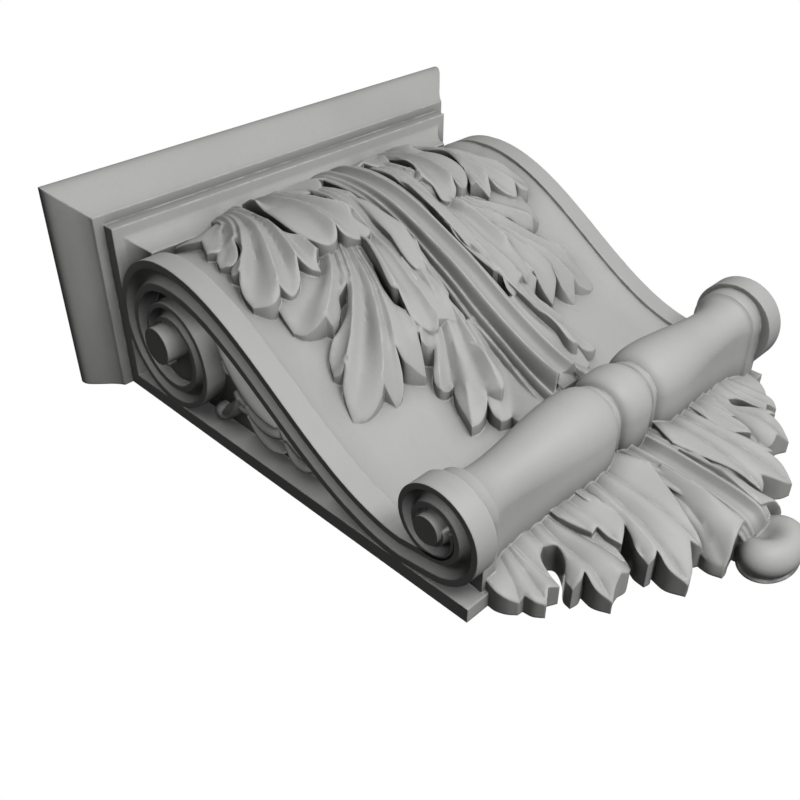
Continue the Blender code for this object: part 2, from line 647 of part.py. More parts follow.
def rim_of(loop):
    # Edge of the area that the loop covers, as directed pairs of points
    verts, _, faces, _, _, owners = delaunay_2d_cdt(
        [Vector(p) for p in loop], [], [list(range(len(loop)))], 0, WELD)
    directed = set()
    for face, own in zip(faces, owners):
        if own:
            directed.update(zip(face, face[1:] + face[:1]))
    pairs = sorted((a, b) for a, b in directed if (b, a) not in directed)
    return [(tuple(verts[a]), tuple(verts[b])) for a, b in pairs]


def leaf_plan(rim, lines):
    # Triangles of the leaf seen from the front, with edges along its lines
    rim_line = [[a, b] for a, b in rim]
    index = {}
    points = []
    for pair in rim:
        for p in pair:
            if p not in index:
                index[p] = len(points)
                points.append(p)
    edges = [(index[a], index[b]) for a, b in rim]
    extra = []
    for line in lines:
        marks = np.array(line)
        keep = inside(marks, rim) & (line_distance(marks, rim_line) > RIM_WIDTH)
        for i in range(len(marks)):
            if keep[i]:
                if i and keep[i - 1]:
                    edges.append((len(points) + len(extra) - 1, len(points) + len(extra)))
                extra.append(tuple(marks[i]))
    every = [Vector(p) for p in points + extra]
    verts, _, faces, _, _, _ = delaunay_2d_cdt(every, edges, [], 0, WELD)
    verts = np.array([tuple(v) for v in verts])
    centres = np.array([verts[list(f)].mean(axis=0) for f in faces])
    kept = [f for f, good in zip(faces, inside(centres, rim)) if good]
    return verts, kept


def spread(points, known):
    # Thin-plate terms of each point for each known point
    away = np.hypot(points[:, :1] - known[:, 0], points[:, 1:2] - known[:, 1])
    return away ** 2 * np.log(np.maximum(away, WELD))


def leaf_lift(leaf, points):
    # Thin-plate surface through the lifts named for the leaf
    rows = [row[:3] for row in leaf["edge"]] + leaf.get("rise", [])
    rows.append((leaf["root"][0], leaf["root"][1], leaf["root_lift"]))
    known = np.array(rows)
    count = len(known)
    flat = np.column_stack([np.ones(count), known[:, :2]])
    system = np.zeros((count + 3, count + 3))
    system[:count, :count] = spread(known, known) + np.eye(count) * LIFT_EASE
    system[:count, count:] = flat
    system[count:, :count] = flat.T
    weights = np.linalg.solve(system, np.append(known[:, 2], np.zeros(3)))
    plane = weights[count] + points @ weights[count + 1:]
    return plane + spread(points, known) @ weights[:count]


def leaf_surface(leaf, points, hollows, ridges):
    to_hollow = line_distance(points, hollows)
    to_ridge = line_distance(points, ridges)
    span = to_hollow + to_ridge + WELD
    rise = (to_hollow / span) ** leaf["power"] - 0.5
    flute = leaf["flute"] * np.minimum(span / FLUTE_SPAN, 1) * rise
    return leaf_lift(leaf, points) + flute


def leaf_solid(leaf, side, on_body):
    # Prism over the leaf's plan, with a modelled top
    loop, across = leaf_edge(leaf)
    rim = rim_of(loop)
    hollows, ridges = flow_lines(leaf, across)
    plan, triangles = leaf_plan(rim, hollows + ridges[1:-1])
    height = leaf_surface(leaf, plan, hollows, ridges)
    base = np.full(len(plan), -WASTE)
    if on_body:
        ground = s_height(plan[:, 1])
        height = height + ground
        base = np.maximum(ground - FIELD_DROP - LEAF_ROOT, ROOT)
    count = len(plan)
    verts = [(side * x, y, z) for (x, y), z in zip(plan, height)]
    verts += [(side * x, y, z) for (x, y), z in zip(plan, base)]
    faces = [tuple(t) for t in triangles]
    faces += [tuple(i + count for i in reversed(t)) for t in triangles]
    directed = {pair for t in triangles for pair in zip(t, t[1:] + t[:1])}
    for a, b in sorted(directed):
        if (b, a) not in directed:
            faces.append((b, a, a + count, b + count))
    return verts, faces


def rib_ring(y, half, lift, flank, late, on_body):
    # Cross-section of a midrib; its flanks run ahead of its middle by late
    rim, rim_drop = TROUGH[-1]
    shape = list(TROUGH)
    shape += [(rim + (half - rim) * way, rim_drop + flank * share) for way, share in FLANK]
    ring = []
    for x, drop in smooth_line(shape, RIB_STEPS):
        low = y - late * x / half
        ground = float(s_height(low)) if on_body else 0.0
        ring.append((x, low, ground + lift - drop))
    low = y - late
    base = max(float(s_height(low)) - FIELD_DROP - LEAF_ROOT, ROOT) if on_body else -WASTE
    left = [(-x, y0, z) for x, y0, z in reversed(ring[1:])]
    return left + ring + [(half, low, base), (0, y, base), (-half, low, base)]


def rib(line, skew, on_body):
    stations = smooth_line(line, LINE_PARTS)
    last = len(stations) - 1
    rings = []
    for i, (y, half, lift, flank) in enumerate(stations):
        rings.append(rib_ring(y, half, lift, flank, skew * (i / last) ** 6, on_body))
    return loft(rings)


def bud():
    # Rounded lip at the end of the tail
    cx, cy, cz = BUD_CENTRE
    rx, ry, rz = BUD_RADII
    hollow, reach, depth = BUD_HOLLOW
    rings = [[(cx + x, cy + y * ry / rx, -WASTE) for x, y in circle((0, 0), rx * 0.92, BUD_STEPS)]]
    for i in range(BUD_RINGS):
        turn = math.pi / 2 * (i / BUD_RINGS * 1.4 - 0.4)
        ring = []
        for x, y in circle((0, 0), rx * math.cos(turn), BUD_STEPS):
            y = cy + y * ry / rx
            dent = depth * math.exp(-(x * x + (y - hollow) ** 2) / reach ** 2)
            ring.append((cx + x, y, cz + rz * math.sin(turn) - dent * max(math.sin(turn), 0)))
        rings.append(ring)
    return loft(rings)


def husk_width(half, t):
    if t < 0.68:
        return half * (0.4 + 0.6 * math.sin(math.pi / 2 * t / 0.68))
    return half * max(math.cos(math.pi / 2 * (t - 0.68) / 0.32), 0.0) ** 0.72


def husk(row, side):
    foot_y, foot_z, tip_y, tip_z, bend, half, height = row
    foot = Vector((foot_y, foot_z))
    tip = Vector((tip_y, tip_z))
    along = tip - foot
    middle = (foot + tip) / 2 + Vector((-along.y, along.x)).normalized() * bend * 2
    rings = []
    for i in range(HUSK_STEPS + 1):
        t = 0.02 + 0.96 * i / HUSK_STEPS
        here = foot * (1 - t) ** 2 + middle * 2 * t * (1 - t) + tip * t * t
        way = (middle - foot) * (1 - t) + (tip - middle) * t
        across = Vector((-way.y, way.x)).normalized()
        width = husk_width(half, t)
        ring = []
        for k in range(HUSK_SIDES + 1):
            turn = math.pi * k / HUSK_SIDES
            p = here + across * width * math.cos(turn)
            rise = height * math.sin(turn) * (0.5 + 0.5 * width / half)
            ring.append((side * (PANEL_HALF + rise), p.x, p.y))
        for sign in (-1, 1):
            p = here + across * width * sign
            ring.append((side * (PANEL_HALF - ROOT), p.x, p.y))
        rings.append(ring)
    return loft(rings)


def ball(side):
    y, z, radius, height = BALL
    rings = []
    for i in range(BALL_STEPS // 2 + 1):
        turn = math.pi / 2 * (i / (BALL_STEPS // 2) * 1.3 - 0.4)
        x = PANEL_HALF + height - radius + radius * math.sin(turn)
        outline = circle((y, z), radius * math.cos(turn), BALL_STEPS)
        rings.append([(side * x, a, b) for a, b in outline])
    return loft(rings)


def all_solids():
    solids = [plate(), cap(), core(), roll(), bud()]
    solids.append(rib(STEM_LINE, STEM_SKEW, True))
    solids.append(rib(RIB_LINE, 0.0, False))
    for side in (-1, 1):
        solids += [ribbon(side)] + volute_floors(side)
        solids += [husk(row, side) for row in HUSKS] + [ball(side)]
        solids += [leaf_solid(leaf, side, True) for leaf in BODY_LEAVES]
        solids += [leaf_solid(leaf, side, False) for leaf in TAIL_LEAVES]
    return solids


def stand_up(mesh):
    mesh.transform(Matrix.Translation((0, -ORIGIN_UP, 0)))
    mesh.transform(Matrix.Rotation(math.radians(90), 4, "X"))
    mesh.transform(Matrix.Scale(PLATE_WIDTH, 4))


def outward(mesh):
    # Faces of a closed solid all turned outward, in triangles
    bm = bmesh.new()
    bm.from_mesh(mesh)
    bmesh.ops.recalc_face_normals(bm, faces=bm.faces)
    bmesh.ops.triangulate(bm, faces=bm.faces)
    bm.to_mesh(mesh)
    bm.free()


def make_object(name, solid):
    mesh = bpy.data.meshes.new(name)
    mesh.from_pydata([tuple(map(float, v)) for v in solid[0]], [], solid[1])
    stand_up(mesh)
    outward(mesh)
    mesh.shade_smooth()
    mesh.set_sharp_from_angle(angle=math.radians(SHARP_ANGLE))
    obj = bpy.data.objects.new(name, mesh)
    bpy.context.scene.collection.objects.link(obj)
    return obj


def joined(name, solids):
    # The first solid, with a modifier that joins the others to it
    first = make_object(name, solids[0])
    tools = bpy.data.collections.new("joined_forms")
    bpy.context.scene.collection.children.link(tools)
    for index, solid in enumerate(solids[1:]):
        form = make_object("form_%02d" % index, solid)
        form.hide_render = True
        form.display_type = "WIRE"
        bpy.context.scene.collection.objects.unlink(form)
        tools.objects.link(form)
    join = first.modifiers.new("join", "BOOLEAN")
    join.operation = "UNION"
    join.operand_type = "COLLECTION"
    join.collection = tools
    join.solver = "EXACT"
    join.use_self = True
    return first


def primed_wood():
    material = bpy.data.materials.new("primed_wood")
    material.use_nodes = True
    shader = material.node_tree.nodes["Principled BSDF"]
    shader.inputs["Base Color"].default_value = (0.46, 0.46, 0.45, 1)
    shader.inputs["Roughness"].default_value = 0.55
    shader.inputs["Metallic"].default_value = 0.0
    return material


def cut_back(bracket):
    # Flat back on the wall face
    reach = PLATE_HALF * 1.4
    rings = []
    for z in (-3 * WASTE, 0.0):
        rings.append([(-reach, -reach, z), (reach, -reach, z), (reach, 3 * reach, z), (-reach, 3 * reach, z)])
    tool = make_object("back_cutter", loft(rings))
    tool.hide_render = True
    tool.display_type = "WIRE"
    cut = bracket.modifiers.new("flat_back", "BOOLEAN")
    cut.operation = "DIFFERENCE"
    cut.object = tool
    cut.solver = "EXACT"


def clear_objects():
    for obj in list(bpy.data.objects):
        bpy.data.objects.remove(obj, do_unlink=True)


def main():
    clear_objects()
    bracket = joined("carved_bracket", all_solids())
    bracket.data.materials.append(primed_wood())
    cut_back(bracket)


main()
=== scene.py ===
import json
import math

import bmesh
import bpy
import numpy as np
from mathutils import Matrix, Vector
from mathutils.geometry import delaunay_2d_cdt

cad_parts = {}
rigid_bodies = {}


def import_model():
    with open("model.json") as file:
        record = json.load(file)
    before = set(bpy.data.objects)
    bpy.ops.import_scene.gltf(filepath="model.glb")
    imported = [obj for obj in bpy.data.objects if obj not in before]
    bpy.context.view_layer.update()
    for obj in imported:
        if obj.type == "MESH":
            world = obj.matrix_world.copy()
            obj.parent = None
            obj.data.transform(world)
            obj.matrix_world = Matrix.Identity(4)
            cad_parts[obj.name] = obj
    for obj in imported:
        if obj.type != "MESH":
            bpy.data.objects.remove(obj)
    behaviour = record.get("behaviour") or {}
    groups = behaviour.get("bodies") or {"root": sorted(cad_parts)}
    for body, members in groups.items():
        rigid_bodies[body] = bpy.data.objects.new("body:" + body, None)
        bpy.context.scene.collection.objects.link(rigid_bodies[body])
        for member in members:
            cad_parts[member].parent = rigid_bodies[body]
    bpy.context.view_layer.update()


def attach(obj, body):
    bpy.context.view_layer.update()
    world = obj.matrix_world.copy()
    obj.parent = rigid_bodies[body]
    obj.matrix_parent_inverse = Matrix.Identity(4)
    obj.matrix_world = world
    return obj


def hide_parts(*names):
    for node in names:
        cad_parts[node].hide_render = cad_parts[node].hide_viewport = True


# Overall size, in metres
PLATE_WIDTH = 0.200
# Height of the origin above the foot of the plate, in plate widths
ORIGIN_UP = 0.55

# Back plate, in plate widths like all sizes below
PLATE_HALF = 0.5
PLATE_EDGE = 0.031
PLATE_MARGIN = 0.04
PLATE_RISE = 0.0035
PLATE_TOP = 1.0

# Scroll body: half widths at the side panels and at the scrolls, then the S
# curve of its front between two points (y, z) and the reach of its handles
PANEL_HALF = 0.453
SCROLL_HALF = 0.4995
S_LOW = (0.15, 0.0875)
S_HIGH = (0.8136, 0.3705)
S_REACH = 0.241
S_STEPS = 60
S_SAMPLES = 200
# Above the S curve the front follows the volute's circle, this much larger, and
# the square of its reach stays above the least one
DRUM_RISE = 0.0015
DRUM_LEAST = 0.01
# Heights of the body's sections below and above the S curve
CORE_FOOT = [0.035, 0.09]
CORE_TOP = 0.825
CORE_STEP = 0.01
CORE_ROWS = 16
# Rails beside the front: their inner side and how far they stand above it
RAIL_INNER = 0.45
RAIL_STEP = 0.009
# Dished field between the rails: drop at its edges and in its middle
FIELD_DROP = 0.028
FIELD_MIDDLE = 0.004
COVE_HALF = 0.385
COVE_STEPS = 8
FIELD_STEPS = 10

# Upper volute: centre, radius at its front, loss of radius per turn
UP_CENTRE = (0.836, 0.1768)
UP_RADIUS = 0.1925
UP_LOSS = 0.0909
UP_TURNS = 1.45
UP_EYE = (0.8445, 0.185)
UP_EYE_RADIUS = 0.041
UP_EYE_RISE = 0.026
# Lower volute: centre, radius at its back, loss of radius per turn
LOW_CENTRE = (0.0878, 0.1557)
LOW_RADIUS = 0.114
LOW_LOSS = 0.0502
LOW_TURNS = 1.3
LOW_EYE = (0.092, 0.156)
LOW_EYE_RADIUS = 0.028
LOW_EYE_RISE = 0.010
TURN_STEPS = 96

# Ribbon of the scroll: two flat rims with a hollow between them, and how far
# the floor of a volute lies below the rims and inside its first turn
RIBBON_LOW = 0.057
RIBBON_HIGH = 0.066
RIBBON_END = 0.030
RIM_SHARE = 0.25
HOLLOW_DEPTH = 0.018
HOLLOW_POWER = 0.6
HOLLOW_STEPS = 8
VOLUTE_FLOOR = 0.022
VOLUTE_GAP = 0.004

# Cap moulding: outward offset from the plate width and height of each point
CAP_FRONT = 0.3888
CAP_FASCIA = (0.0, 1.0253)
CAP_COVE = [(-0.0532, 0.9424), (-0.0492, 0.9628), (-0.0376, 0.9800), (-0.0204, 0.9912), (0.0, 0.995)]
CAP_OGEE = [
    (0.0221, 1.0253), (0.0265, 1.0340), (0.0400, 1.0500), (0.0640, 1.0720),
    (0.0780, 1.0870), (0.0830, 1.0990), (0.0825, 1.1100), (0.0780, 1.1180), (0.0700, 1.1222),
]
CAP_STEPS = 5

# Turned roll: centre line and, for each turned member, the radius along it
ROLL_CENTRE = (0.0815, 0.1620)
ROLL_MEMBERS = [
    [(0.0, 0.0735), (0.022, 0.0725), (0.040, 0.0660), (0.050, 0.0560)],
    [(0.050, 0.0560), (0.056, 0.0600), (0.064, 0.0600), (0.066, 0.0585)],
    [(0.066, 0.0600), (0.082, 0.0700), (0.115, 0.0755), (0.160, 0.0745), (0.220, 0.0680),
     (0.290, 0.0585), (0.350, 0.0535), (0.390, 0.0550), (0.415, 0.0640)],
    [(0.420, 0.0700), (0.4205, 0.0715), (0.455, 0.0730)],
]
ROLL_STEPS = 56
MEMBER_STEPS = 6
# How far it is round, in half turns, where its wall stands, in radii, and the
# least distance between two of its rings
ROLL_SWEEP = 1.2
ROLL_HEEL = 0.5
ROLL_GAP = 0.0002

# Leaves. A leaf has a root (x, y, half width), the way it grows there, the
# depth of its flutes (below 0 for lobes with a keel) and how round they are.
# A row of its edge is (x, y, lift) and a kind: lobes end in a round tip or a
# sharp point and notches part them. Rows without a kind only steer the edge.
# Lifts are above the S curve of the body; "rise" names more inside the leaf.
UPPER_BLADE = {
    "root": (0.300, 0.905, 0.020), "way": (1.0, -0.3), "flute": 0.006, "power": 1.6, "root_lift": 0.010,
    "edge": [
        (0.310, 0.945, 0.0, "notch"), (0.401, 0.930, -0.008, "point"), (0.390, 0.898, -0.005),
        (0.371, 0.868, -0.003, "notch"), (0.396, 0.814, -0.002, "point"), (0.376, 0.801, 0.0),
        (0.350, 0.822, 0.0), (0.325, 0.860, 0.004, "notch"),
    ],
}
UPPER_OUTER = {
    "root": (0.262, 0.943, 0.030), "way": (0.1, -1.0), "flute": 0.024, "power": 1.6, "root_lift": 0.026,
    "edge": [
        (0.308, 0.885, 0.012, "notch"), (0.356, 0.828, 0.002), (0.393, 0.786, 0.000),
        (0.404, 0.760, 0.000, "point"), (0.384, 0.743, 0.006), (0.364, 0.752, 0.010),
        (0.336, 0.800, 0.016, "notch"), (0.360, 0.748, 0.012), (0.394, 0.737, 0.004),
        (0.406, 0.720, 0.003, "point"), (0.396, 0.708, 0.006, "notch"), (0.410, 0.690, 0.005),
        (0.420, 0.664, 0.006), (0.421, 0.638, 0.008, "point"), (0.390, 0.617, 0.015),
        (0.366, 0.622, 0.020), (0.358, 0.633, 0.022, "notch"), (0.344, 0.613, 0.024, "tip"),
        (0.325, 0.616, 0.027), (0.306, 0.632, 0.030), (0.289, 0.660, 0.034, "notch"),
        (0.276, 0.638, 0.036), (0.258, 0.624, 0.038, "point"), (0.252, 0.643, 0.040),
        (0.243, 0.653, 0.042, "notch"), (0.231, 0.661, 0.042, "point"), (0.247, 0.697, 0.044),
        (0.263, 0.730, 0.044), (0.268, 0.780, 0.040), (0.254, 0.850, 0.030, "notch"),
    ],
}
UPPER_INNER = {
    "root": (0.178, 0.943, 0.030), "way": (0.0, -1.0), "flute": 0.024, "power": 1.6, "root_lift": 0.028,
    "edge": [
        (0.232, 0.860, 0.034, "notch"), (0.251, 0.760, 0.047), (0.248, 0.702, 0.051),
        (0.229, 0.670, 0.053), (0.210, 0.656, 0.053, "tip"), (0.192, 0.652, 0.054), (0.182, 0.658, 0.055),
        (0.176, 0.670, 0.058, "notch"), (0.167, 0.648, 0.060), (0.140, 0.632, 0.062, "tip"),
        (0.118, 0.630, 0.065), (0.108, 0.640, 0.064), (0.119, 0.677, 0.060),
        (0.110, 0.699, 0.058, "notch"), (0.092, 0.710, 0.057, "point"), (0.126, 0.738, 0.055),
        (0.142, 0.800, 0.046), (0.142, 0.870, 0.034, "notch"),
    ],
}
CURL = {
    "root": (0.158, 0.890, 0.022), "way": (-1.0, 0.2), "flute": 0.010, "power": 1.6, "root_lift": 0.034,
    "edge": [
        (0.150, 0.860, 0.036, "notch"), (0.130, 0.824, 0.042), (0.100, 0.811, 0.045, "tip"),
        (0.077, 0.824, 0.045), (0.068, 0.846, 0.043, "notch"), (0.047, 0.844, 0.043),
        (0.030, 0.868, 0.041, "tip"), (0.042, 0.896, 0.038), (0.085, 0.908, 0.034),
        (0.140, 0.918, 0.032, "notch"),
    ],
}
MIDDLE = {
    "root": (0.150, 0.760, 0.040), "way": (0.05, -1.0), "flute": 0.026, "power": 1.6, "root_lift": 0.042,
    "edge": [
        (0.300, 0.720, 0.014, "notch"), (0.368, 0.650, 0.000), (0.377, 0.605, -0.001),
        (0.378, 0.574, -0.003, "point"), (0.365, 0.557, 0.000), (0.345, 0.547, 0.011),
        (0.320, 0.543, 0.026, "notch"), (0.310, 0.531, 0.022, "point"), (0.295, 0.534, 0.025),
        (0.276, 0.549, 0.028), (0.261, 0.568, 0.033), (0.231, 0.578, 0.036, "notch"),
        (0.250, 0.556, 0.034), (0.271, 0.537, 0.028), (0.303, 0.5255, 0.018), (0.329, 0.517, 0.010),
        (0.353, 0.499, 0.004), (0.367, 0.472, 0.001, "point"), (0.356, 0.461, 0.010),
        (0.345, 0.463, 0.018, "notch"), (0.366, 0.448, 0.004), (0.377, 0.427, -0.005),
        (0.385, 0.400, -0.011, "point"), (0.368, 0.389, -0.008), (0.343, 0.387, 0.000),
        (0.316, 0.393, 0.010), (0.303, 0.400, 0.017, "notch"), (0.288, 0.376, -0.005, "point"),
        (0.266, 0.384, 0.018), (0.253, 0.400, 0.037), (0.244, 0.428, 0.057, "notch"),
        (0.241, 0.407, 0.050), (0.227, 0.395, 0.040), (0.204, 0.382, 0.027, "point"),
        (0.195, 0.397, 0.042), (0.188, 0.413, 0.054), (0.184, 0.428, 0.061, "notch"),
        (0.166, 0.430, 0.060, "point"), (0.167, 0.460, 0.060), (0.182, 0.500, 0.060),
        (0.174, 0.542, 0.050), (0.110, 0.660, 0.040, "notch"),
    ],
    "rise": [(0.180, 0.630, 0.024), (0.240, 0.650, 0.016)],
}
INNER = {
    "root": (0.092, 0.940, 0.022), "way": (0.0, -1.0), "flute": 0.021, "power": 1.6, "root_lift": 0.012,
    "edge": [
        (0.125, 0.690, 0.052, "notch"), (0.144, 0.615, 0.060), (0.158, 0.562, 0.066),
        (0.174, 0.512, 0.070), (0.168, 0.496, 0.071, "notch"), (0.171, 0.476, 0.071),
        (0.175, 0.454, 0.071), (0.167, 0.430, 0.070), (0.147, 0.413, 0.070, "tip"), (0.139, 0.412, 0.074),
        (0.132, 0.418, 0.077, "notch"), (0.115, 0.413, 0.080), (0.095, 0.400, 0.083),
        (0.075, 0.392, 0.087, "point"), (0.071, 0.408, 0.088), (0.082, 0.438, 0.086, "notch"),
        (0.070, 0.448, 0.088, "point"), (0.062, 0.480, 0.086), (0.050, 0.560, 0.076, "notch"),
    ],
    "rise": [(0.100, 0.520, 0.064), (0.130, 0.630, 0.044)],
}
LEAFLET = {
    "root": (0.072, 0.790, 0.004), "way": (0.0, -1.0), "flute": 0.004, "power": 1.6, "root_lift": 0.040,
    "edge": [
        (0.088, 0.600, 0.070, "notch"), (0.097, 0.550, 0.074), (0.095, 0.522, 0.076),
        (0.084, 0.510, 0.077, "tip"), (0.069, 0.507, 0.078), (0.059, 0.516, 0.080), (0.056, 0.545, 0.082),
        (0.050, 0.600, 0.080, "notch"),
    ],
}
LOWER = {
    "root": (0.085, 0.560, 0.030), "way": (0.05, -1.0), "flute": -0.022, "power": 0.9, "root_lift": 0.066,
    "edge": [
        (0.150, 0.480, 0.056, "notch"), (0.183, 0.417, 0.046, "point"), (0.160, 0.403, 0.041, "notch"),
        (0.170, 0.393, 0.027), (0.185, 0.380, 0.018), (0.197, 0.364, 0.010), (0.198, 0.348, 0.008, "tip"),
        (0.186, 0.340, 0.014), (0.167, 0.341, 0.023, "notch"), (0.178, 0.328, 0.018),
        (0.189, 0.305, 0.013), (0.196, 0.280, 0.009), (0.204, 0.257, 0.006, "point"),
        (0.187, 0.253, 0.014), (0.168, 0.257, 0.025), (0.153, 0.264, 0.040),
        (0.141, 0.276, 0.060, "notch"), (0.132, 0.262, 0.059), (0.124, 0.252, 0.057, "point"),
        (0.112, 0.257, 0.066), (0.105, 0.270, 0.073), (0.103, 0.300, 0.082),
        (0.096, 0.340, 0.086, "notch"),
    ],
}
FOOT = {
    "root": (0.055, 0.400, 0.030), "way": (0.02, -1.0), "flute": -0.014, "power": 0.9, "root_lift": 0.074,
    "edge": [
        (0.128, 0.300, 0.060, "notch"), (0.149, 0.260, 0.030), (0.147, 0.231, 0.015, "point"),
        (0.133, 0.226, 0.022), (0.122, 0.225, 0.030, "notch"), (0.130, 0.203, 0.034),
        (0.134, 0.175, 0.038), (0.130, 0.105, 0.044, "point"), (0.030, 0.105, 0.060, "notch"),
    ],
    "rise": [(0.100, 0.270, 0.046), (0.070, 0.330, 0.062), (0.105, 0.170, 0.046)],
}
# Leaves of the tail below the plate, with heights above the wall
TAIL_SIDE = {
    "root": (0.320, 0.070, 0.080), "way": (0.1, -1.0), "flute": 0.014, "power": 0.6, "root_lift": 0.084,
    "edge": [
        (0.440, 0.030, 0.056, "notch"), (0.447, -0.012, 0.048), (0.440, -0.034, 0.040),
        (0.427, -0.050, 0.034, "point"), (0.415, -0.051, 0.040, "notch"), (0.412, -0.070, 0.039),
        (0.399, -0.087, 0.038, "point"), (0.378, -0.072, 0.047, "notch"), (0.358, -0.082, 0.048, "point"),
        (0.352, -0.055, 0.052), (0.338, -0.024, 0.058), (0.317, -0.012, 0.062, "notch"),
        (0.301, -0.030, 0.063), (0.318, -0.060, 0.061), (0.348, -0.086, 0.058),
        (0.353, -0.104, 0.057, "point"), (0.334, -0.107, 0.061), (0.320, -0.102, 0.065, "notch"),
        (0.325, -0.130, 0.050), (0.313, -0.160, 0.036, "point"), (0.293, -0.150, 0.046),
        (0.274, -0.146, 0.057, "notch"), (0.254, -0.149, 0.050), (0.234, -0.141, 0.046, "point"),
        (0.229, -0.110, 0.060), (0.222, -0.040, 0.074, "notch"),
    ],
}
TAIL_LOBE = {
    "root": (0.225, 0.060, 0.035), "way": (0.0, -1.0), "flute": 0.010, "power": 0.6, "root_lift": 0.095,
    "edge": [
        (0.262, 0.000, 0.086, "notch"), (0.253, -0.040, 0.085), (0.246, -0.064, 0.084, "point"),
        (0.232, -0.062, 0.085, "notch"), (0.234, -0.090, 0.082), (0.227, -0.113, 0.080, "point"),
        (0.200, -0.098, 0.083), (0.180, -0.080, 0.086), (0.180, -0.020, 0.094, "notch"),
    ],
}
TAIL_MIDDLE = {
    "root": (0.140, 0.060, 0.060), "way": (0.05, -1.0), "flute": 0.017, "power": 0.6, "root_lift": 0.104,
    "edge": [
        (0.200, -0.010, 0.094, "notch"), (0.186, -0.074, 0.086), (0.198, -0.110, 0.080),
        (0.217, -0.140, 0.071), (0.221, -0.165, 0.064, "point"), (0.207, -0.168, 0.066),
        (0.195, -0.163, 0.068, "notch"), (0.202, -0.195, 0.054), (0.189, -0.229, 0.040, "point"),
        (0.168, -0.222, 0.046), (0.147, -0.205, 0.056), (0.127, -0.188, 0.063, "notch"),
        (0.118, -0.200, 0.058), (0.107, -0.206, 0.054, "point"), (0.098, -0.185, 0.066),
        (0.086, -0.150, 0.082), (0.064, -0.100, 0.095), (0.040, -0.040, 0.104, "notch"),
    ],
}
TAIL_INNER = {
    "root": (0.060, -0.060, 0.030), "way": (0.0, -1.0), "flute": 0.012, "power": 0.6, "root_lift": 0.088,
    "edge": [
        (0.092, -0.140, 0.066, "notch"), (0.104, -0.185, 0.040), (0.112, -0.225, 0.031),
        (0.105, -0.251, 0.031, "point"), (0.090, -0.250, 0.052), (0.072, -0.244, 0.070),
        (0.030, -0.235, 0.076, "notch"),
    ],
    "rise": [(0.070, -0.180, 0.080)],
}
BODY_LEAVES = [UPPER_BLADE, UPPER_OUTER, UPPER_INNER, CURL, MIDDLE, INNER, LEAFLET, LOWER, FOOT]
TAIL_LEAVES = [TAIL_SIDE, TAIL_LOBE, TAIL_MIDDLE, TAIL_INNER]
SHARP_KINDS = ("notch", "point")
LOBE_ENDS = ("tip", "point")

# Midrib of the body: height, half width, lift of its two rims and drop of its
# flanks below them. Between the rims runs a trough: (x, drop) across it, then
# share of the way from the rim to the edge and share of the flank's drop.
STEM_LINE = [
    (0.935, 0.056, 0.030, 0.004), (0.860, 0.056, 0.048, 0.008), (0.760, 0.056, 0.060, 0.014),
    (0.670, 0.056, 0.074, 0.022), (0.560, 0.058, 0.090, 0.032), (0.470, 0.062, 0.106, 0.038),
    (0.400, 0.066, 0.110, 0.040), (0.330, 0.062, 0.110, 0.044), (0.265, 0.070, 0.106, 0.050),
    (0.205, 0.090, 0.100, 0.050),
]
TROUGH = [(0.0, 0.018), (0.010, 0.015), (0.018, 0.006), (0.022, 0.000), (0.027, 0.001)]
FLANK = [
    (0.14, 0.55), (0.26, 0.75), (0.40, 0.55), (0.50, 0.60),
    (0.62, 1.0), (0.74, 0.98), (0.86, 0.85), (1.0, 1.15),
]
# How much lower the sides of the midrib end than its middle, and how late the
# difference sets in
STEM_SKEW = 0.045
SKEW_POWER = 6
# Midrib of the tail, heights above the wall, and the bud at its end
RIB_LINE = [
    (0.045, 0.062, 0.112, 0.008), (-0.040, 0.062, 0.110, 0.008), (-0.120, 0.060, 0.103, 0.010),
    (-0.190, 0.056, 0.094, 0.012), (-0.235, 0.052, 0.082, 0.012), (-0.258, 0.048, 0.058, 0.010),
]
BUD_CENTRE = (0.0, -0.284, 0.030)
BUD_RADII = (0.080, 0.056, 0.046)
# Hollow on the upper side of the bud: height up the wall, reach and depth
BUD_HOLLOW = (-0.262, 0.034, 0.034)
# Share of its radius on the wall, and the quarter turns that its rings take up
# in all and below the widest one
BUD_FOOT = 0.92
BUD_SPAN = 1.4
BUD_UNDER = 0.4
BUD_RINGS = 16
BUD_STEPS = 48

# Leaf surfaces: how deep they are rooted, and the spacing of their points on
# the edge and inside it, where rows lie closer than points in a row
LEAF_ROOT = 0.030
EDGE_STEP = 0.0055
SHORT_EDGE = 0.001
GRID = 0.0065
ROW_SHARE = 0.87
# Softened edge: width, drop and the share of the width kept free of points
RIM_WIDTH = 0.004
RIM_DROP = 0.0025
RIM_SPARE = 0.8
# Distance from ridge to ridge at which a flute has its full depth
FLUTE_SPAN = 0.030
# Lines along the flutes: parts, and how far the root's way pulls them
LINE_STEPS = 26
LINE_PULL = 0.5
# How freely a surface passes the lifts named for it
LIFT_EASE = 0.0001
# Parts of a midrib between two of its rows, along and across
RIB_PARTS = 8
RIB_STEPS = 3

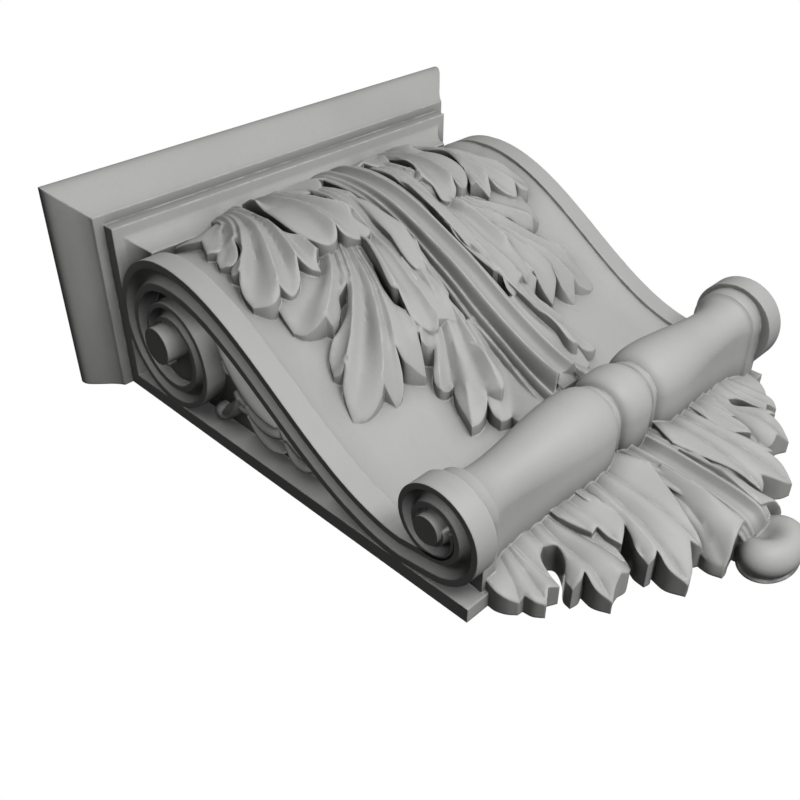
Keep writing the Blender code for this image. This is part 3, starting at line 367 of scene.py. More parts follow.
# Small leaves in the side panels: foot, tip, bend and half width in the side
# plane, and the rise above the panel
HUSKS = [
    (0.700, 0.240, 0.525, 0.112, 0.016, 0.015, 0.034),
    (0.628, 0.120, 0.494, 0.110, 0.018, 0.014, 0.032),
    (0.622, 0.098, 0.510, 0.058, 0.013, 0.012, 0.030),
    (0.512, 0.104, 0.432, 0.080, -0.003, 0.014, 0.028),
    (0.508, 0.090, 0.412, 0.074, 0.024, 0.012, 0.028),
    (0.520, 0.118, 0.490, 0.098, 0.000, 0.010, 0.026),
    (0.694, 0.194, 0.660, 0.172, 0.002, 0.011, 0.026),
    (0.664, 0.176, 0.636, 0.162, 0.002, 0.009, 0.024),
    (0.612, 0.106, 0.652, 0.152, 0.004, 0.009, 0.022),
    (0.614, 0.100, 0.674, 0.126, 0.004, 0.010, 0.020),
    (0.614, 0.092, 0.670, 0.098, 0.000, 0.009, 0.018),
    (0.650, 0.128, 0.716, 0.056, -0.012, 0.016, 0.030),
]
HUSK_STEPS = 24
HUSK_SIDES = 12
# Part of the line left out at either end, widest place and taper after it
HUSK_END = 0.02
HUSK_BELLY = 0.68
HUSK_TAPER = 0.32
HUSK_ROUND = 0.72
# Width at the foot and height at a point, as shares of the full ones
HUSK_FOOT = 0.4
HUSK_LOW = 0.5
# Ball at the end of the last of them: centre, radius and rise
BALL = (0.716, 0.056, 0.021, 0.030)
BALL_SPAN = 1.3
BALL_UNDER = 0.4
BALL_STEPS = 24
BALL_RINGS = 12

# How deep one form is rooted in another, and how near two points are one
ROOT = 0.01
WELD = 0.00001
TINY = 1e-12
# Edges stay sharp from this angle on, in degrees
SHARP_ANGLE = 32.0
# Points of the joined mesh nearer than this are one, in metres
SLIVER = 0.00000002

# Primed wood: its colours (the deepest is painted shade), the radius of its
# worn edges and how far, in metres, painted shade reaches into a hollow
PRIMER_LIGHT = (0.50, 0.50, 0.49, 1)
PRIMER_DARK = (0.41, 0.41, 0.40, 1)
# Painted shade: the dark tone laid into hollows and creases where light falls off
PAINTED_SHADE_TONE = (0.09, 0.09, 0.09, 1)
PRIMER_WORN = (0.80, 0.80, 0.78, 1)
WEAR_RADIUS = 0.0012
SHADE_REACH = 0.010
SHADE_SAMPLES = 4
SHINE = 0.35
# Its patterns: scale, detail and, for the grain, the stretch along the wood
CLOUDS = (18, 4)
SPECKLE = (900, 2)
GRAIN = (220, 4, (1, 1, 0.08))
PATCHES = (160, 3)
# How much each of them shows: from one value to another, least to most
EDGE_SHOWS = (0.985, 0.80, 0.0, 1.0)
PATCHES_SHOW = (0.38, 0.62, 0.25, 1.0)
# Painted shade: how much of the dark tone the ambient occlusion lets through
PAINTED_SHADE_SHOWS = (0.30, 0.95, 0.0, 1.0)
SPECKLE_SHOWS = (0.60, 0.72, 0.0, 0.35)
GRAIN_SHOWS = (0.58, 0.75, 0.0, 0.30)
WORN_SHOWS = (0.0, 1.0, 0.0, 0.8)
ROUGH_SHOWS = (0.3, 0.7, 0.50, 0.62)
SMOOTH_SHOWS = (0, 1, 0, 0.12)
# Height in metres and strength of the bumps
GRAIN_BUMP = (0.0002, 0.35)
SPECKLE_BUMP = (0.00006, 0.5)

# Camera, light and floor, in metres and degrees
CAMERA_PLACE = (-0.27306, -0.24909, -0.25125)
CAMERA_FORWARD = (1, 1, 1)
CAMERA_RIGHT = (1, 0, -1)
CAMERA_LENS = 43.456
SENSOR_WIDTH = 36.0
CLIP_START = 0.01
FLOOR_HEIGHT = -0.75
FLOOR_SIZE = 6.0
FLOOR_TONE = (0.78, 0.78, 0.77, 1)
FLOOR_SHADE = (0.25, 0.25, 0.25, 1)
FLOOR_ROUGH = 0.8
FLOOR_GLOW = 0.95
FLOOR_SHARE = 0.85
KEY_WAY = (0.0, -0.83, -0.56)
LIGHT_DISTANCE = 0.80
KEY_SIZE = 0.30
KEY_POWER = 2.6
# Light from the same side that casts no shadow, to reach into the hollows
FILL_POWER = 3.2
# Light on the sides turned away from the camera
BACK_WAY = (1.0, 1.0, 1.0)
BACK_SIZE = 0.5
BACK_POWER = 5.0
WORLD_LIGHT = 0.05
WORLD_SEEN = 1.0
WHITE = (1, 1, 1, 1)


def bezier(p0, p1, p2, p3, t):
    s = 1 - t
    return tuple(
        s ** 3 * a + 3 * s * s * t * b + 3 * s * t * t * c + t ** 3 * d
        for a, b, c, d in zip(p0, p1, p2, p3)
    )


def smooth_line(points, steps):
    # Curve through all points, with steps parts between each two of them
    out = []
    last = len(points) - 1
    for i in range(last):
        a, b = points[i], points[i + 1]
        before = points[i - 1] if i else a
        after = points[i + 2] if i + 2 <= last else b
        pull_a = tuple(p + (q - o) / 6 for p, o, q in zip(a, before, b))
        pull_b = tuple(q - (n - p) / 6 for p, q, n in zip(a, b, after))
        out += [bezier(a, pull_a, pull_b, b, k / steps) for k in range(steps)]
    return out + [tuple(points[-1])]


def s_point(t):
    low_pull = (S_LOW[0] + S_REACH, S_LOW[1])
    high_pull = (S_HIGH[0] - S_REACH, S_HIGH[1])
    return bezier(S_LOW, low_pull, high_pull, S_HIGH, t)


S_CURVE = np.array([s_point(i / S_SAMPLES) for i in range(S_SAMPLES + 1)])


def s_height(y):
    # Distance of the body's front from the wall at height y
    y = np.asarray(y, dtype=float)
    square = (UP_RADIUS + DRUM_RISE) ** 2 - (y - UP_CENTRE[0]) ** 2
    drum = np.sqrt(np.maximum(square, DRUM_LEAST)) + UP_CENTRE[1]
    line = np.interp(y, S_CURVE[:, 0], S_CURVE[:, 1])
    return np.where(y >= S_HIGH[0], drum, line)


def upper_radius(turn):
    return UP_RADIUS - UP_LOSS * turn


def lower_radius(turn):
    return LOW_RADIUS - LOW_LOSS * turn


def around(centre, radius, angle):
    return (centre[0] + radius * math.cos(angle), centre[1] + radius * math.sin(angle))


def upper_point(turn, inset):
    # Turn 0 is the front of the volute, a quarter turn on is its top
    return around(UP_CENTRE, upper_radius(turn) - inset, math.pi / 2 - 2 * math.pi * turn)


def lower_point(turn, inset):
    # Turn 0 is the back of the volute, a quarter turn on is its foot
    return around(LOW_CENTRE, lower_radius(turn) - inset, -math.pi / 2 - 2 * math.pi * turn)


def offset_point(points, index, distance):
    # Point moved to the right-hand side of the path
    before = Vector(points[max(index - 1, 0)])
    after = Vector(points[min(index + 1, len(points) - 1)])
    along = (after - before).normalized()
    here = Vector(points[index])
    return tuple(here + Vector((along.y, -along.x)) * distance)


def ribbon_stations():
    # Pairs (front edge, back edge) of the ribbon, from inside the lower
    # volute, along the S and into the upper volute
    stations = []
    low_count = round(LOW_TURNS * TURN_STEPS)
    for i in range(low_count, 0, -1):
        turn = i / TURN_STEPS
        width = RIBBON_LOW + (RIBBON_END - RIBBON_LOW) * turn / LOW_TURNS
        stations.append((lower_point(turn, width), lower_point(turn, 0)))
    front = [s_point(i / S_STEPS) for i in range(S_STEPS + 1)]
    for i in range(1, S_STEPS):
        share = i / S_STEPS
        width = RIBBON_LOW + (RIBBON_HIGH - RIBBON_LOW) * share
        stations.append((front[i], offset_point(front, i, width)))
    up_count = round(UP_TURNS * TURN_STEPS)
    for i in range(up_count + 1):
        turn = i / TURN_STEPS
        width = RIBBON_HIGH + (RIBBON_END - RIBBON_HIGH) * turn / UP_TURNS
        stations.append((upper_point(turn, 0), upper_point(turn, width)))
    return stations


def loft(rings):
    # Closed solid through rings of equal length, capped at both ends
    count = len(rings[0])
    verts = [p for ring in rings for p in ring]
    faces = []
    for row in range(len(rings) - 1):
        for i in range(count):
            j = (i + 1) % count
            a = row * count
            faces.append((a + i, a + j, a + count + j, a + count + i))
    faces.append(tuple(reversed(range(count))))
    end = (len(rings) - 1) * count
    faces.append(tuple(range(end, end + count)))
    return verts, faces


def prism_x(outline, x0, x1):
    return loft([[(x, y, z) for y, z in outline] for x in (x0, x1)])


def plate():
    inner = PLATE_HALF - PLATE_MARGIN
    rise = PLATE_EDGE + PLATE_RISE
    rings = []
    for half, foot, height in (
        (PLATE_HALF, 0, 0), (PLATE_HALF, 0, PLATE_EDGE), (inner, PLATE_MARGIN, rise)
    ):
        rings.append([
            (-half, foot, height), (half, foot, height),
            (half, PLATE_TOP, height), (-half, PLATE_TOP, height),
        ])
    return loft(rings)


def cap():
    profile = smooth_line(CAP_COVE, CAP_STEPS) + [CAP_FASCIA] + smooth_line(CAP_OGEE, CAP_STEPS)
    rings = []
    for offset, y in profile:
        half = PLATE_HALF + offset
        front = CAP_FRONT + offset
        rings.append([(-half, y, front), (half, y, front), (half, y, 0), (-half, y, 0)])
    return loft(rings)


def front_section(y):
    # Points across the front of the body at height y: step, cove, dished field
    top = float(s_height(y))
    points = [(-PANEL_HALF, top - RAIL_STEP)]
    for i in range(COVE_STEPS):
        share = i / COVE_STEPS
        depth = RAIL_STEP + (FIELD_DROP - RAIL_STEP) * math.sin(share * math.pi / 2)
        points.append((-RAIL_INNER + share * (RAIL_INNER - COVE_HALF), top - depth))
    for i in range(FIELD_STEPS):
        share = 1 - i / FIELD_STEPS
        depth = FIELD_MIDDLE + (FIELD_DROP - FIELD_MIDDLE) * share ** 2
        points.append((-COVE_HALF * share, top - depth))
    return points + [(0, top - FIELD_MIDDLE)] + [(-x, z) for x, z in reversed(points)]


def core():
    # The body between the side panels, from the roll to the cap
    along_s = [s_point(i / S_STEPS)[0] for i in range(S_STEPS + 1)]
    above = [CORE_TOP + CORE_STEP * i for i in range(CORE_ROWS)]
    rings = []
    for y in CORE_FOOT + along_s + above:
        top = [(x, y, z) for x, z in front_section(y)]
        rings.append(top + [(PANEL_HALF, y, ROOT), (-PANEL_HALF, y, ROOT)])
    return loft(rings)


def ribbon_section():
    # Share of the width and depth below the face: rim, round hollow, rim
    section = [(0.0, 0.0), (RIM_SHARE, 0.0)]
    for i in range(1, HOLLOW_STEPS):
        share = i / HOLLOW_STEPS
        depth = HOLLOW_DEPTH * math.sin(math.pi * share) ** HOLLOW_POWER
        section.append((RIM_SHARE + share * (1 - 2 * RIM_SHARE), depth))
    return section + [(1 - RIM_SHARE, 0.0), (1.0, 0.0)]


def ribbon(side):
    rings = []
    section = ribbon_section()
    for front, back in ribbon_stations():
        f = Vector(front)
        b = Vector(back)
        ring = []
        for share, depth in section:
            p = f.lerp(b, share)
            ring.append((side * (SCROLL_HALF - depth), p.x, p.y))
        ring.append((side * RAIL_INNER, b.x, b.y))
        ring.append((side * RAIL_INNER, f.x, f.y))
        rings.append(ring)
    return loft(rings)


def circle(centre, radius, count):
    return [around(centre, radius, 2 * math.pi * i / count) for i in range(count)]


def disc(side, centre, radius, face):
    low, high = sorted((side * (PANEL_HALF - ROOT), side * face))
    return prism_x(circle(centre, radius, TURN_STEPS), low, high)


def volute_floors(side):
    # The floors between the turns and the eyes in the middle
    floor = SCROLL_HALF - VOLUTE_FLOOR
    return [
        disc(side, UP_CENTRE, upper_radius(1) - VOLUTE_GAP, floor),
        disc(side, UP_EYE, UP_EYE_RADIUS, SCROLL_HALF + UP_EYE_RISE),
        disc(side, LOW_CENTRE, lower_radius(1) - VOLUTE_GAP, floor),
        disc(side, LOW_EYE, LOW_EYE_RADIUS, SCROLL_HALF + LOW_EYE_RISE),
    ]


def roll_ring(x, radius):
    # Round toward the front, then a straight wall to the plate
    ring = []
    for i in range(ROLL_STEPS + 1):
        angle = math.pi - math.pi * ROLL_SWEEP * i / ROLL_STEPS
        ring.append((x, *around(ROLL_CENTRE, radius, angle)))
    ring.append((x, ROLL_CENTRE[0] + radius * ROLL_HEEL, ROOT))
    ring.append((x, ROLL_CENTRE[0] - radius, ROOT))
    return ring


def roll():
    half = []
    for member in ROLL_MEMBERS:
        half += smooth_line(member, MEMBER_STEPS)
    places = [(-x, r) for x, r in reversed(half)] + half
    kept = [places[0]]
    for x, r in places[1:]:
        if x > kept[-1][0] + ROLL_GAP:
            kept.append((x, r))
    return loft([roll_ring(x, r) for x, r in kept])


def smooth_run(points):
    # Points close together on a curve through all points, the last left out
    places = [Vector(p) for p in points]
    lengths = [(b - a).length for a, b in zip(places, places[1:])]
    ways = []
    for i in range(len(places)):
        before, after = max(i - 1, 0), min(i + 1, len(places) - 1)
        ways.append((places[after] - places[before]) / sum(lengths[before:after]))
    out = []
    for i, length in enumerate(lengths):
        a, b = places[i], places[i + 1]
        pull_a = a + ways[i] * length / 3
        pull_b = b - ways[i + 1] * length / 3
        steps = max(2, math.ceil(length / EDGE_STEP))
        out += [bezier(a, pull_a, pull_b, b, k / steps) for k in range(steps)]
    return out


def leaf_edge(leaf):
    # Closed edge of the leaf, root included
    rows = leaf["edge"]
    x, y, half = leaf["root"]
    way = Vector(leaf["way"]).normalized()
    across = Vector((-way.y, way.x))
    if (Vector(rows[0][:2]) - Vector(rows[-1][:2])).dot(across) < 0:
        across.negate()
    root = Vector((x, y))
    loop = [tuple(root + across * half)]
    run = []
    for row in rows:
        run.append(row[:2])
        if row[-1] in SHARP_KINDS:
            if len(run) > 1:
                loop += smooth_run(run)
            run = [row[:2]]
    loop += [tuple(rows[-1][:2]), tuple(root - across * half)]
    if sum(a[0] * b[1] - b[0] * a[1] for a, b in zip(loop, loop[1:] + loop[:1])) < 0:
        loop.reverse()
    return loop, across


def flow_line(leaf, across, row, share):
    # Line from the root of the leaf to one of its tips or notches
    x, y, half = leaf["root"]
    way = Vector(leaf["way"]).normalized()
    start = Vector((x, y)) + across * half * share
    end = Vector(row[:2])
    pull = start + way * (end - start).length * LINE_PULL
    line = []
    for i in range(LINE_STEPS + 1):
        t = i / LINE_STEPS
        p = start * (1 - t) ** 2 + pull * 2 * t * (1 - t) + end * t * t
        line.append((p.x, p.y))
    return line


def flow_lines(leaf, across):
    # The hollow of each lobe runs to its end, the ridges run to the notches
    rows = leaf["edge"]
    last = len(rows) - 1
    hollows = []
    ridges = []
    for i, row in enumerate(rows):
        line = flow_line(leaf, across, row, 1 - 2 * i / last)
        if row[-1] in LOBE_ENDS:
            hollows.append(line)
        elif row[-1] == "notch":
            ridges.append(line)
    return hollows, ridges


def line_distance(points, lines):
    # Distance of each point from the nearest of the lines
    starts = np.concatenate([np.array(line[:-1]) for line in lines])
    ends = np.concatenate([np.array(line[1:]) for line in lines])
    best = np.full(len(points), np.inf)
    for a, b in zip(starts, ends):
        along = b - a
        share = np.clip(((points - a) @ along) / max(along @ along, TINY), 0, 1)
        away = points - (a + share[:, None] * along)
        best = np.minimum(best, np.hypot(away[:, 0], away[:, 1]))
    return best


def inside(points, rim):
    # Whether each point is inside the closed rim, given as pairs of points
    hits = np.zeros(len(points), dtype=int)
    for (ax, ay), (bx, by) in rim:
        if ay == by:
            continue
        spans = (points[:, 1] > min(ay, by)) & (points[:, 1] <= max(ay, by))
        cross = ax + (points[:, 1] - ay) * (bx - ax) / (by - ay)
        hits += spans & (cross > points[:, 0])
    return hits % 2 == 1


def rim_of(loop):
    # Edge of the area that the loop covers, as directed pairs of points
    verts, _, faces, _, _, owners = delaunay_2d_cdt(
        [Vector(p) for p in loop], [], [list(range(len(loop)))], 0, WELD)
    directed = set()
    for face, own in zip(faces, owners):
        if own:
            directed.update(zip(face, face[1:] + face[:1]))
    pairs = sorted((a, b) for a, b in directed if (b, a) not in directed)
    return [(tuple(verts[a]), tuple(verts[b])) for a, b in pairs]


def grid_points(rim):
    xs = [p[0] for pair in rim for p in pair]
    ys = [p[1] for pair in rim for p in pair]
    rows = []
    y = min(ys)
    shift = 0.0
    while y < max(ys):
        row = np.arange(min(xs) + shift, max(xs), GRID)
        rows.append(np.stack([row, np.full(len(row), y)], axis=1))
        y += GRID * ROW_SHARE
        shift = GRID / 2 - shift
    return np.concatenate(rows)


def leaf_plan(rim, lines):
    # Triangles of the leaf seen from the front, with edges along its lines
    rim_line = [[a, b] for a, b in rim]
    points = list(dict.fromkeys(p for pair in rim for p in pair))
    index = {p: i for i, p in enumerate(points)}
    edges = [(index[a], index[b]) for a, b in rim]
    inner = []
    for a, b in rim:
        along = Vector(b) - Vector(a)
        if along.length > SHORT_EDGE:
            side = Vector((-along.y, along.x)).normalized() * RIM_WIDTH
            inner.append(tuple((Vector(a) + Vector(b)) / 2 + side))
    extra = []
    for line in lines:
        marks = np.array(line)
        keep = inside(marks, rim) & (line_distance(marks, rim_line) > RIM_WIDTH)
        for i in range(len(marks)):
            if keep[i]:
                if i and keep[i - 1]:
                    edges.append((len(points) + len(extra) - 1, len(points) + len(extra)))
                extra.append(tuple(marks[i]))
    points = points + extra
    inner = np.array(inner)
    inner = inner[inside(inner, rim) & (line_distance(inner, rim_line) > RIM_WIDTH * RIM_SPARE)]
    grid = grid_points(rim)
    grid = grid[inside(grid, rim)]
    grid = grid[line_distance(grid, rim_line) > RIM_WIDTH + GRID / 2]
    grid = grid[line_distance(grid, lines) > GRID / 2]
    every = points + [tuple(p) for p in inner] + [tuple(p) for p in grid]
    verts, _, faces, _, _, _ = delaunay_2d_cdt([Vector(p) for p in every], edges, [], 0, WELD)
    verts = np.array([tuple(v) for v in verts])
    centres = np.array([verts[list(f)].mean(axis=0) for f in faces])
    kept = [f for f, good in zip(faces, inside(centres, rim)) if good]
    return verts, kept


def spread(points, known):
    # Thin-plate terms of each point for each known point
    away = np.hypot(points[:, :1] - known[:, 0], points[:, 1:2] - known[:, 1])
    return away ** 2 * np.log(np.maximum(away, WELD))


def leaf_lift(leaf, points):
    # Thin-plate surface through the lifts named for the leaf
    rows = [row[:3] for row in leaf["edge"]] + leaf.get("rise", [])
    rows.append((leaf["root"][0], leaf["root"][1], leaf["root_lift"]))
    known = np.array(rows)
    count = len(known)
    flat = np.column_stack([np.ones(count), known[:, :2]])
    system = np.zeros((count + 3, count + 3))
    system[:count, :count] = spread(known, known) + np.eye(count) * LIFT_EASE
    system[:count, count:] = flat
    system[count:, :count] = flat.T
    weights = np.linalg.solve(system, np.append(known[:, 2], np.zeros(3)))
    plane = weights[count] + points @ weights[count + 1:]
    return plane + spread(points, known) @ weights[:count]


def leaf_surface(leaf, points, rim, hollows, ridges):
    # Lift of each point: the flutes go from -0.5 in a hollow to 0.5 on a ridge
    to_hollow = line_distance(points, hollows)
    to_ridge = line_distance(points, ridges)
    span = to_hollow + to_ridge + WELD
    rise = (to_hollow / span) ** leaf["power"] - 0.5
    flute = leaf["flute"] * np.minimum(span / FLUTE_SPAN, 1) * rise
    near = np.clip(1 - line_distance(points, [[a, b] for a, b in rim]) / RIM_WIDTH, 0, 1)
    return leaf_lift(leaf, points) + flute - RIM_DROP * near ** 2


def leaf_solid(leaf, side, on_body):
    # Prism over the leaf's plan, with a modelled top
    loop, across = leaf_edge(leaf)
    rim = rim_of(loop)
    hollows, ridges = flow_lines(leaf, across)
    plan, triangles = leaf_plan(rim, hollows + ridges[1:-1])
    height = leaf_surface(leaf, plan, rim, hollows, ridges)
    base = np.zeros(len(plan))
    if on_body:
        ground = s_height(plan[:, 1])
        height = height + ground
        base = np.maximum(ground - FIELD_DROP - LEAF_ROOT, ROOT)
    count = len(plan)
    verts = [(side * x, y, z) for (x, y), z in zip(plan, height)]
    verts += [(side * x, y, z) for (x, y), z in zip(plan, base)]
    faces = [tuple(t) for t in triangles]
    faces += [tuple(i + count for i in reversed(t)) for t in triangles]
    directed = {pair for t in triangles for pair in zip(t, t[1:] + t[:1])}
    for a, b in sorted(directed):
        if (b, a) not in directed:
            faces.append((b, a, a + count, b + count))
    return verts, faces


def rib_ring(y, half, lift, flank, late, on_body):
    # Cross-section of a midrib; its flanks run ahead of its middle by late
    rim, rim_drop = TROUGH[-1]
    shape = list(TROUGH)
    shape += [(rim + (half - rim) * way, rim_drop + flank * share) for way, share in FLANK]
    ring = []
    for x, drop in smooth_line(shape, RIB_STEPS):
        low = y - late * x / half
        ground = float(s_height(low)) if on_body else 0.0
        ring.append((x, low, ground + lift - drop))
    low = y - late
    base = max(float(s_height(low)) - FIELD_DROP - LEAF_ROOT, ROOT) if on_body else 0.0
    left = [(-x, y0, z) for x, y0, z in reversed(ring[1:])]
    return left + ring + [(half, low, base), (0, y, base), (-half, low, base)]


def rib(line, skew, on_body):
    stations = smooth_line(line, RIB_PARTS)
    last = len(stations) - 1
    rings = []
    for i, (y, half, lift, flank) in enumerate(stations):
        rings.append(rib_ring(y, half, lift, flank, skew * (i / last) ** SKEW_POWER, on_body))
    return loft(rings)


def bud():
    # Rounded lip at the end of the tail, with a flat back on the wall
    cx, cy, cz = BUD_CENTRE
    rx, ry, rz = BUD_RADII
    hollow, reach, depth = BUD_HOLLOW
    foot = circle((0, 0), rx * BUD_FOOT, BUD_STEPS)
    rings = [[(cx + x, cy + y * ry / rx, 0.0) for x, y in foot]]
    for i in range(BUD_RINGS):
        turn = math.pi / 2 * (i / BUD_RINGS * BUD_SPAN - BUD_UNDER)
        ring = []
        for x, y in circle((0, 0), rx * math.cos(turn), BUD_STEPS):
            y = cy + y * ry / rx
            dent = depth * math.exp(-(x * x + (y - hollow) ** 2) / reach ** 2)
            ring.append((cx + x, y, cz + rz * math.sin(turn) - dent * max(math.sin(turn), 0)))
        rings.append(ring)
    return loft(rings)


def husk_width(half, t):
    if t < HUSK_BELLY:
        return half * (HUSK_FOOT + (1 - HUSK_FOOT) * math.sin(math.pi / 2 * t / HUSK_BELLY))
    return half * max(math.cos(math.pi / 2 * (t - HUSK_BELLY) / HUSK_TAPER), 0.0) ** HUSK_ROUND


def husk(row, side):
    # Small rounded leaf along a bent line in a side panel
    foot_y, foot_z, tip_y, tip_z, bend, half, height = row
    foot = Vector((foot_y, foot_z))
    tip = Vector((tip_y, tip_z))
    along = tip - foot
    middle = (foot + tip) / 2 + Vector((-along.y, along.x)).normalized() * bend * 2
    rings = []
    for i in range(HUSK_STEPS + 1):
        t = HUSK_END + (1 - 2 * HUSK_END) * i / HUSK_STEPS
        here = foot * (1 - t) ** 2 + middle * 2 * t * (1 - t) + tip * t * t
        way = (middle - foot) * (1 - t) + (tip - middle) * t
        across = Vector((-way.y, way.x)).normalized()
        width = husk_width(half, t)
        ring = []
        for k in range(HUSK_SIDES + 1):
            turn = math.pi * k / HUSK_SIDES
            p = here + across * width * math.cos(turn)
            rise = height * math.sin(turn) * (HUSK_LOW + (1 - HUSK_LOW) * width / half)
            ring.append((side * (PANEL_HALF + rise), p.x, p.y))
        for sign in (-1, 1):
            p = here + across * width * sign
            ring.append((side * (PANEL_HALF - ROOT), p.x, p.y))
        rings.append(ring)
    return loft(rings)


def ball(side):
    y, z, radius, height = BALL
    rings = []
    for i in range(BALL_RINGS + 1):
        turn = math.pi / 2 * (i / BALL_RINGS * BALL_SPAN - BALL_UNDER)
        x = PANEL_HALF + height - radius + radius * math.sin(turn)
        outline = circle((y, z), radius * math.cos(turn), BALL_STEPS)
        rings.append([(side * x, a, b) for a, b in outline])
    return loft(rings)


def all_solids():
    solids = [plate(), cap(), core(), roll(), bud()]
    solids.append(rib(STEM_LINE, STEM_SKEW, True))
    solids.append(rib(RIB_LINE, 0.0, False))
    for side in (-1, 1):
        solids += [ribbon(side)] + volute_floors(side)
        solids += [husk(row, side) for row in HUSKS] + [ball(side)]
        solids += [leaf_solid(leaf, side, True) for leaf in BODY_LEAVES]
        solids += [leaf_solid(leaf, side, False) for leaf in TAIL_LEAVES]
    return solids


def stand_up(mesh):
    mesh.transform(Matrix.Translation((0, -ORIGIN_UP, 0)))
    mesh.transform(Matrix.Rotation(math.radians(90), 4, "X"))
    mesh.transform(Matrix.Scale(PLATE_WIDTH, 4))


def outward(mesh):
    # Faces of a closed solid all turned outward, in triangles
    bm = bmesh.new()
    bm.from_mesh(mesh)
    bmesh.ops.recalc_face_normals(bm, faces=bm.faces)
    bmesh.ops.triangulate(bm, faces=bm.faces)
    bm.to_mesh(mesh)
    bm.free()


def without_slivers(mesh):
    # Points that all but touch, left where two forms meet, made one
    bm = bmesh.new()
    bm.from_mesh(mesh)
    bmesh.ops.remove_doubles(bm, verts=bm.verts, dist=SLIVER)
    bm.to_mesh(mesh)
    bm.free()


def make_object(name, solid):
    mesh = bpy.data.meshes.new(name)
    mesh.from_pydata([tuple(map(float, v)) for v in solid[0]], [], solid[1])
    stand_up(mesh)
    outward(mesh)
    obj = bpy.data.objects.new(name, mesh)
    bpy.context.scene.collection.objects.link(obj)
    return obj


def joined(name, solids):
    # One mesh from all solids
    first = make_object(name, solids[0])
    tools = bpy.data.collections.new("joined_forms")
    bpy.context.scene.collection.children.link(tools)
    for index, solid in enumerate(solids[1:]):
        form = make_object("form_%02d" % index, solid)
        bpy.context.scene.collection.objects.unlink(form)
        tools.objects.link(form)
    join = first.modifiers.new("join", "BOOLEAN")
    join.operation = "UNION"
    join.operand_type = "COLLECTION"
    join.collection = tools
    join.solver = "MANIFOLD"
    view = bpy.context.evaluated_depsgraph_get()
    mesh = bpy.data.meshes.new_from_object(first.evaluated_get(view))
    first.modifiers.clear()
    first.data = mesh
    for form in list(tools.objects):
        bpy.data.objects.remove(form, do_unlink=True)
    bpy.data.collections.remove(tools)
    without_slivers(mesh)
    mesh.shade_smooth()
    mesh.set_sharp_from_angle(angle=math.radians(SHARP_ANGLE))
    return first


class Shading:
    # Short way to add and join the nodes of one material
    def __init__(self, name):
        self.material = bpy.data.materials.new(name)
        self.material.use_nodes = True
        self.tree = self.material.node_tree
        self.shader = self.tree.nodes["Principled BSDF"]
        self.place = self.add("ShaderNodeTexCoord").outputs["Object"]

    def add(self, kind, **values):
        node = self.tree.nodes.new(kind)
        for name, value in values.items():
            setattr(node, name, value)
        return node

    def join(self, start, end):
        self.tree.links.new(start, end)

    def noise(self, scale, detail, stretch=(1, 1, 1)):
        mapping = self.add("ShaderNodeMapping")
        mapping.inputs["Scale"].default_value = stretch
        self.join(self.place, mapping.inputs["Vector"])
        node = self.add("ShaderNodeTexNoise")
        node.inputs["Scale"].default_value = scale
        node.inputs["Detail"].default_value = detail
        self.join(mapping.outputs[0], node.inputs["Vector"])
        return node.outputs["Fac"]

    def span(self, value, low, high, to_low, to_high):
        # The value stretched from one range to another and kept inside it
        node = self.add("ShaderNodeMapRange")
        for index, number in enumerate((low, high, to_low, to_high)):
            node.inputs[index + 1].default_value = number
        self.join(value, node.inputs[0])
        return node.outputs[0]

    def math(self, operation, first, second):
        node = self.add("ShaderNodeMath", operation=operation)
        self.join(first, node.inputs[0])
        self.join(second, node.inputs[1])
        return node.outputs[0]

    def mix(self, share, first, second):
        # A blend of two colours, each a socket or plain numbers
        node = self.add("ShaderNodeMix", data_type="RGBA")
        self.join(share, node.inputs[0])
        for value, socket in ((first, node.inputs[6]), (second, node.inputs[7])):
            if isinstance(value, tuple):
                socket.default_value = value
            else:
                self.join(value, socket)
        return node.outputs[2]

    def bump(self, height, distance, strength, before):
        # Normal with the height laid over the one before
        node = self.add("ShaderNodeBump")
        node.inputs["Strength"].default_value = strength
        node.inputs["Distance"].default_value = distance
        self.join(height, node.inputs["Height"])
        self.join(before, node.inputs["Normal"])
        return node.outputs[0]


def edge_wear(shading):
    # 1 on sharp edges, 0 on flat faces: how far the bevelled normal leans away
    bevel = shading.add("ShaderNodeBevel", samples=SHADE_SAMPLES)
    bevel.inputs["Radius"].default_value = WEAR_RADIUS
    true_normal = shading.add("ShaderNodeNewGeometry").outputs["Normal"]
    lean = shading.add("ShaderNodeVectorMath", operation="DOT_PRODUCT")
    shading.join(bevel.outputs[0], lean.inputs[0])
    shading.join(true_normal, lean.inputs[1])
    edge = shading.span(lean.outputs["Value"], *EDGE_SHOWS)
    patches = shading.span(shading.noise(*PATCHES), *PATCHES_SHOW)
    return shading.math("MULTIPLY", edge, patches), bevel.outputs[0]


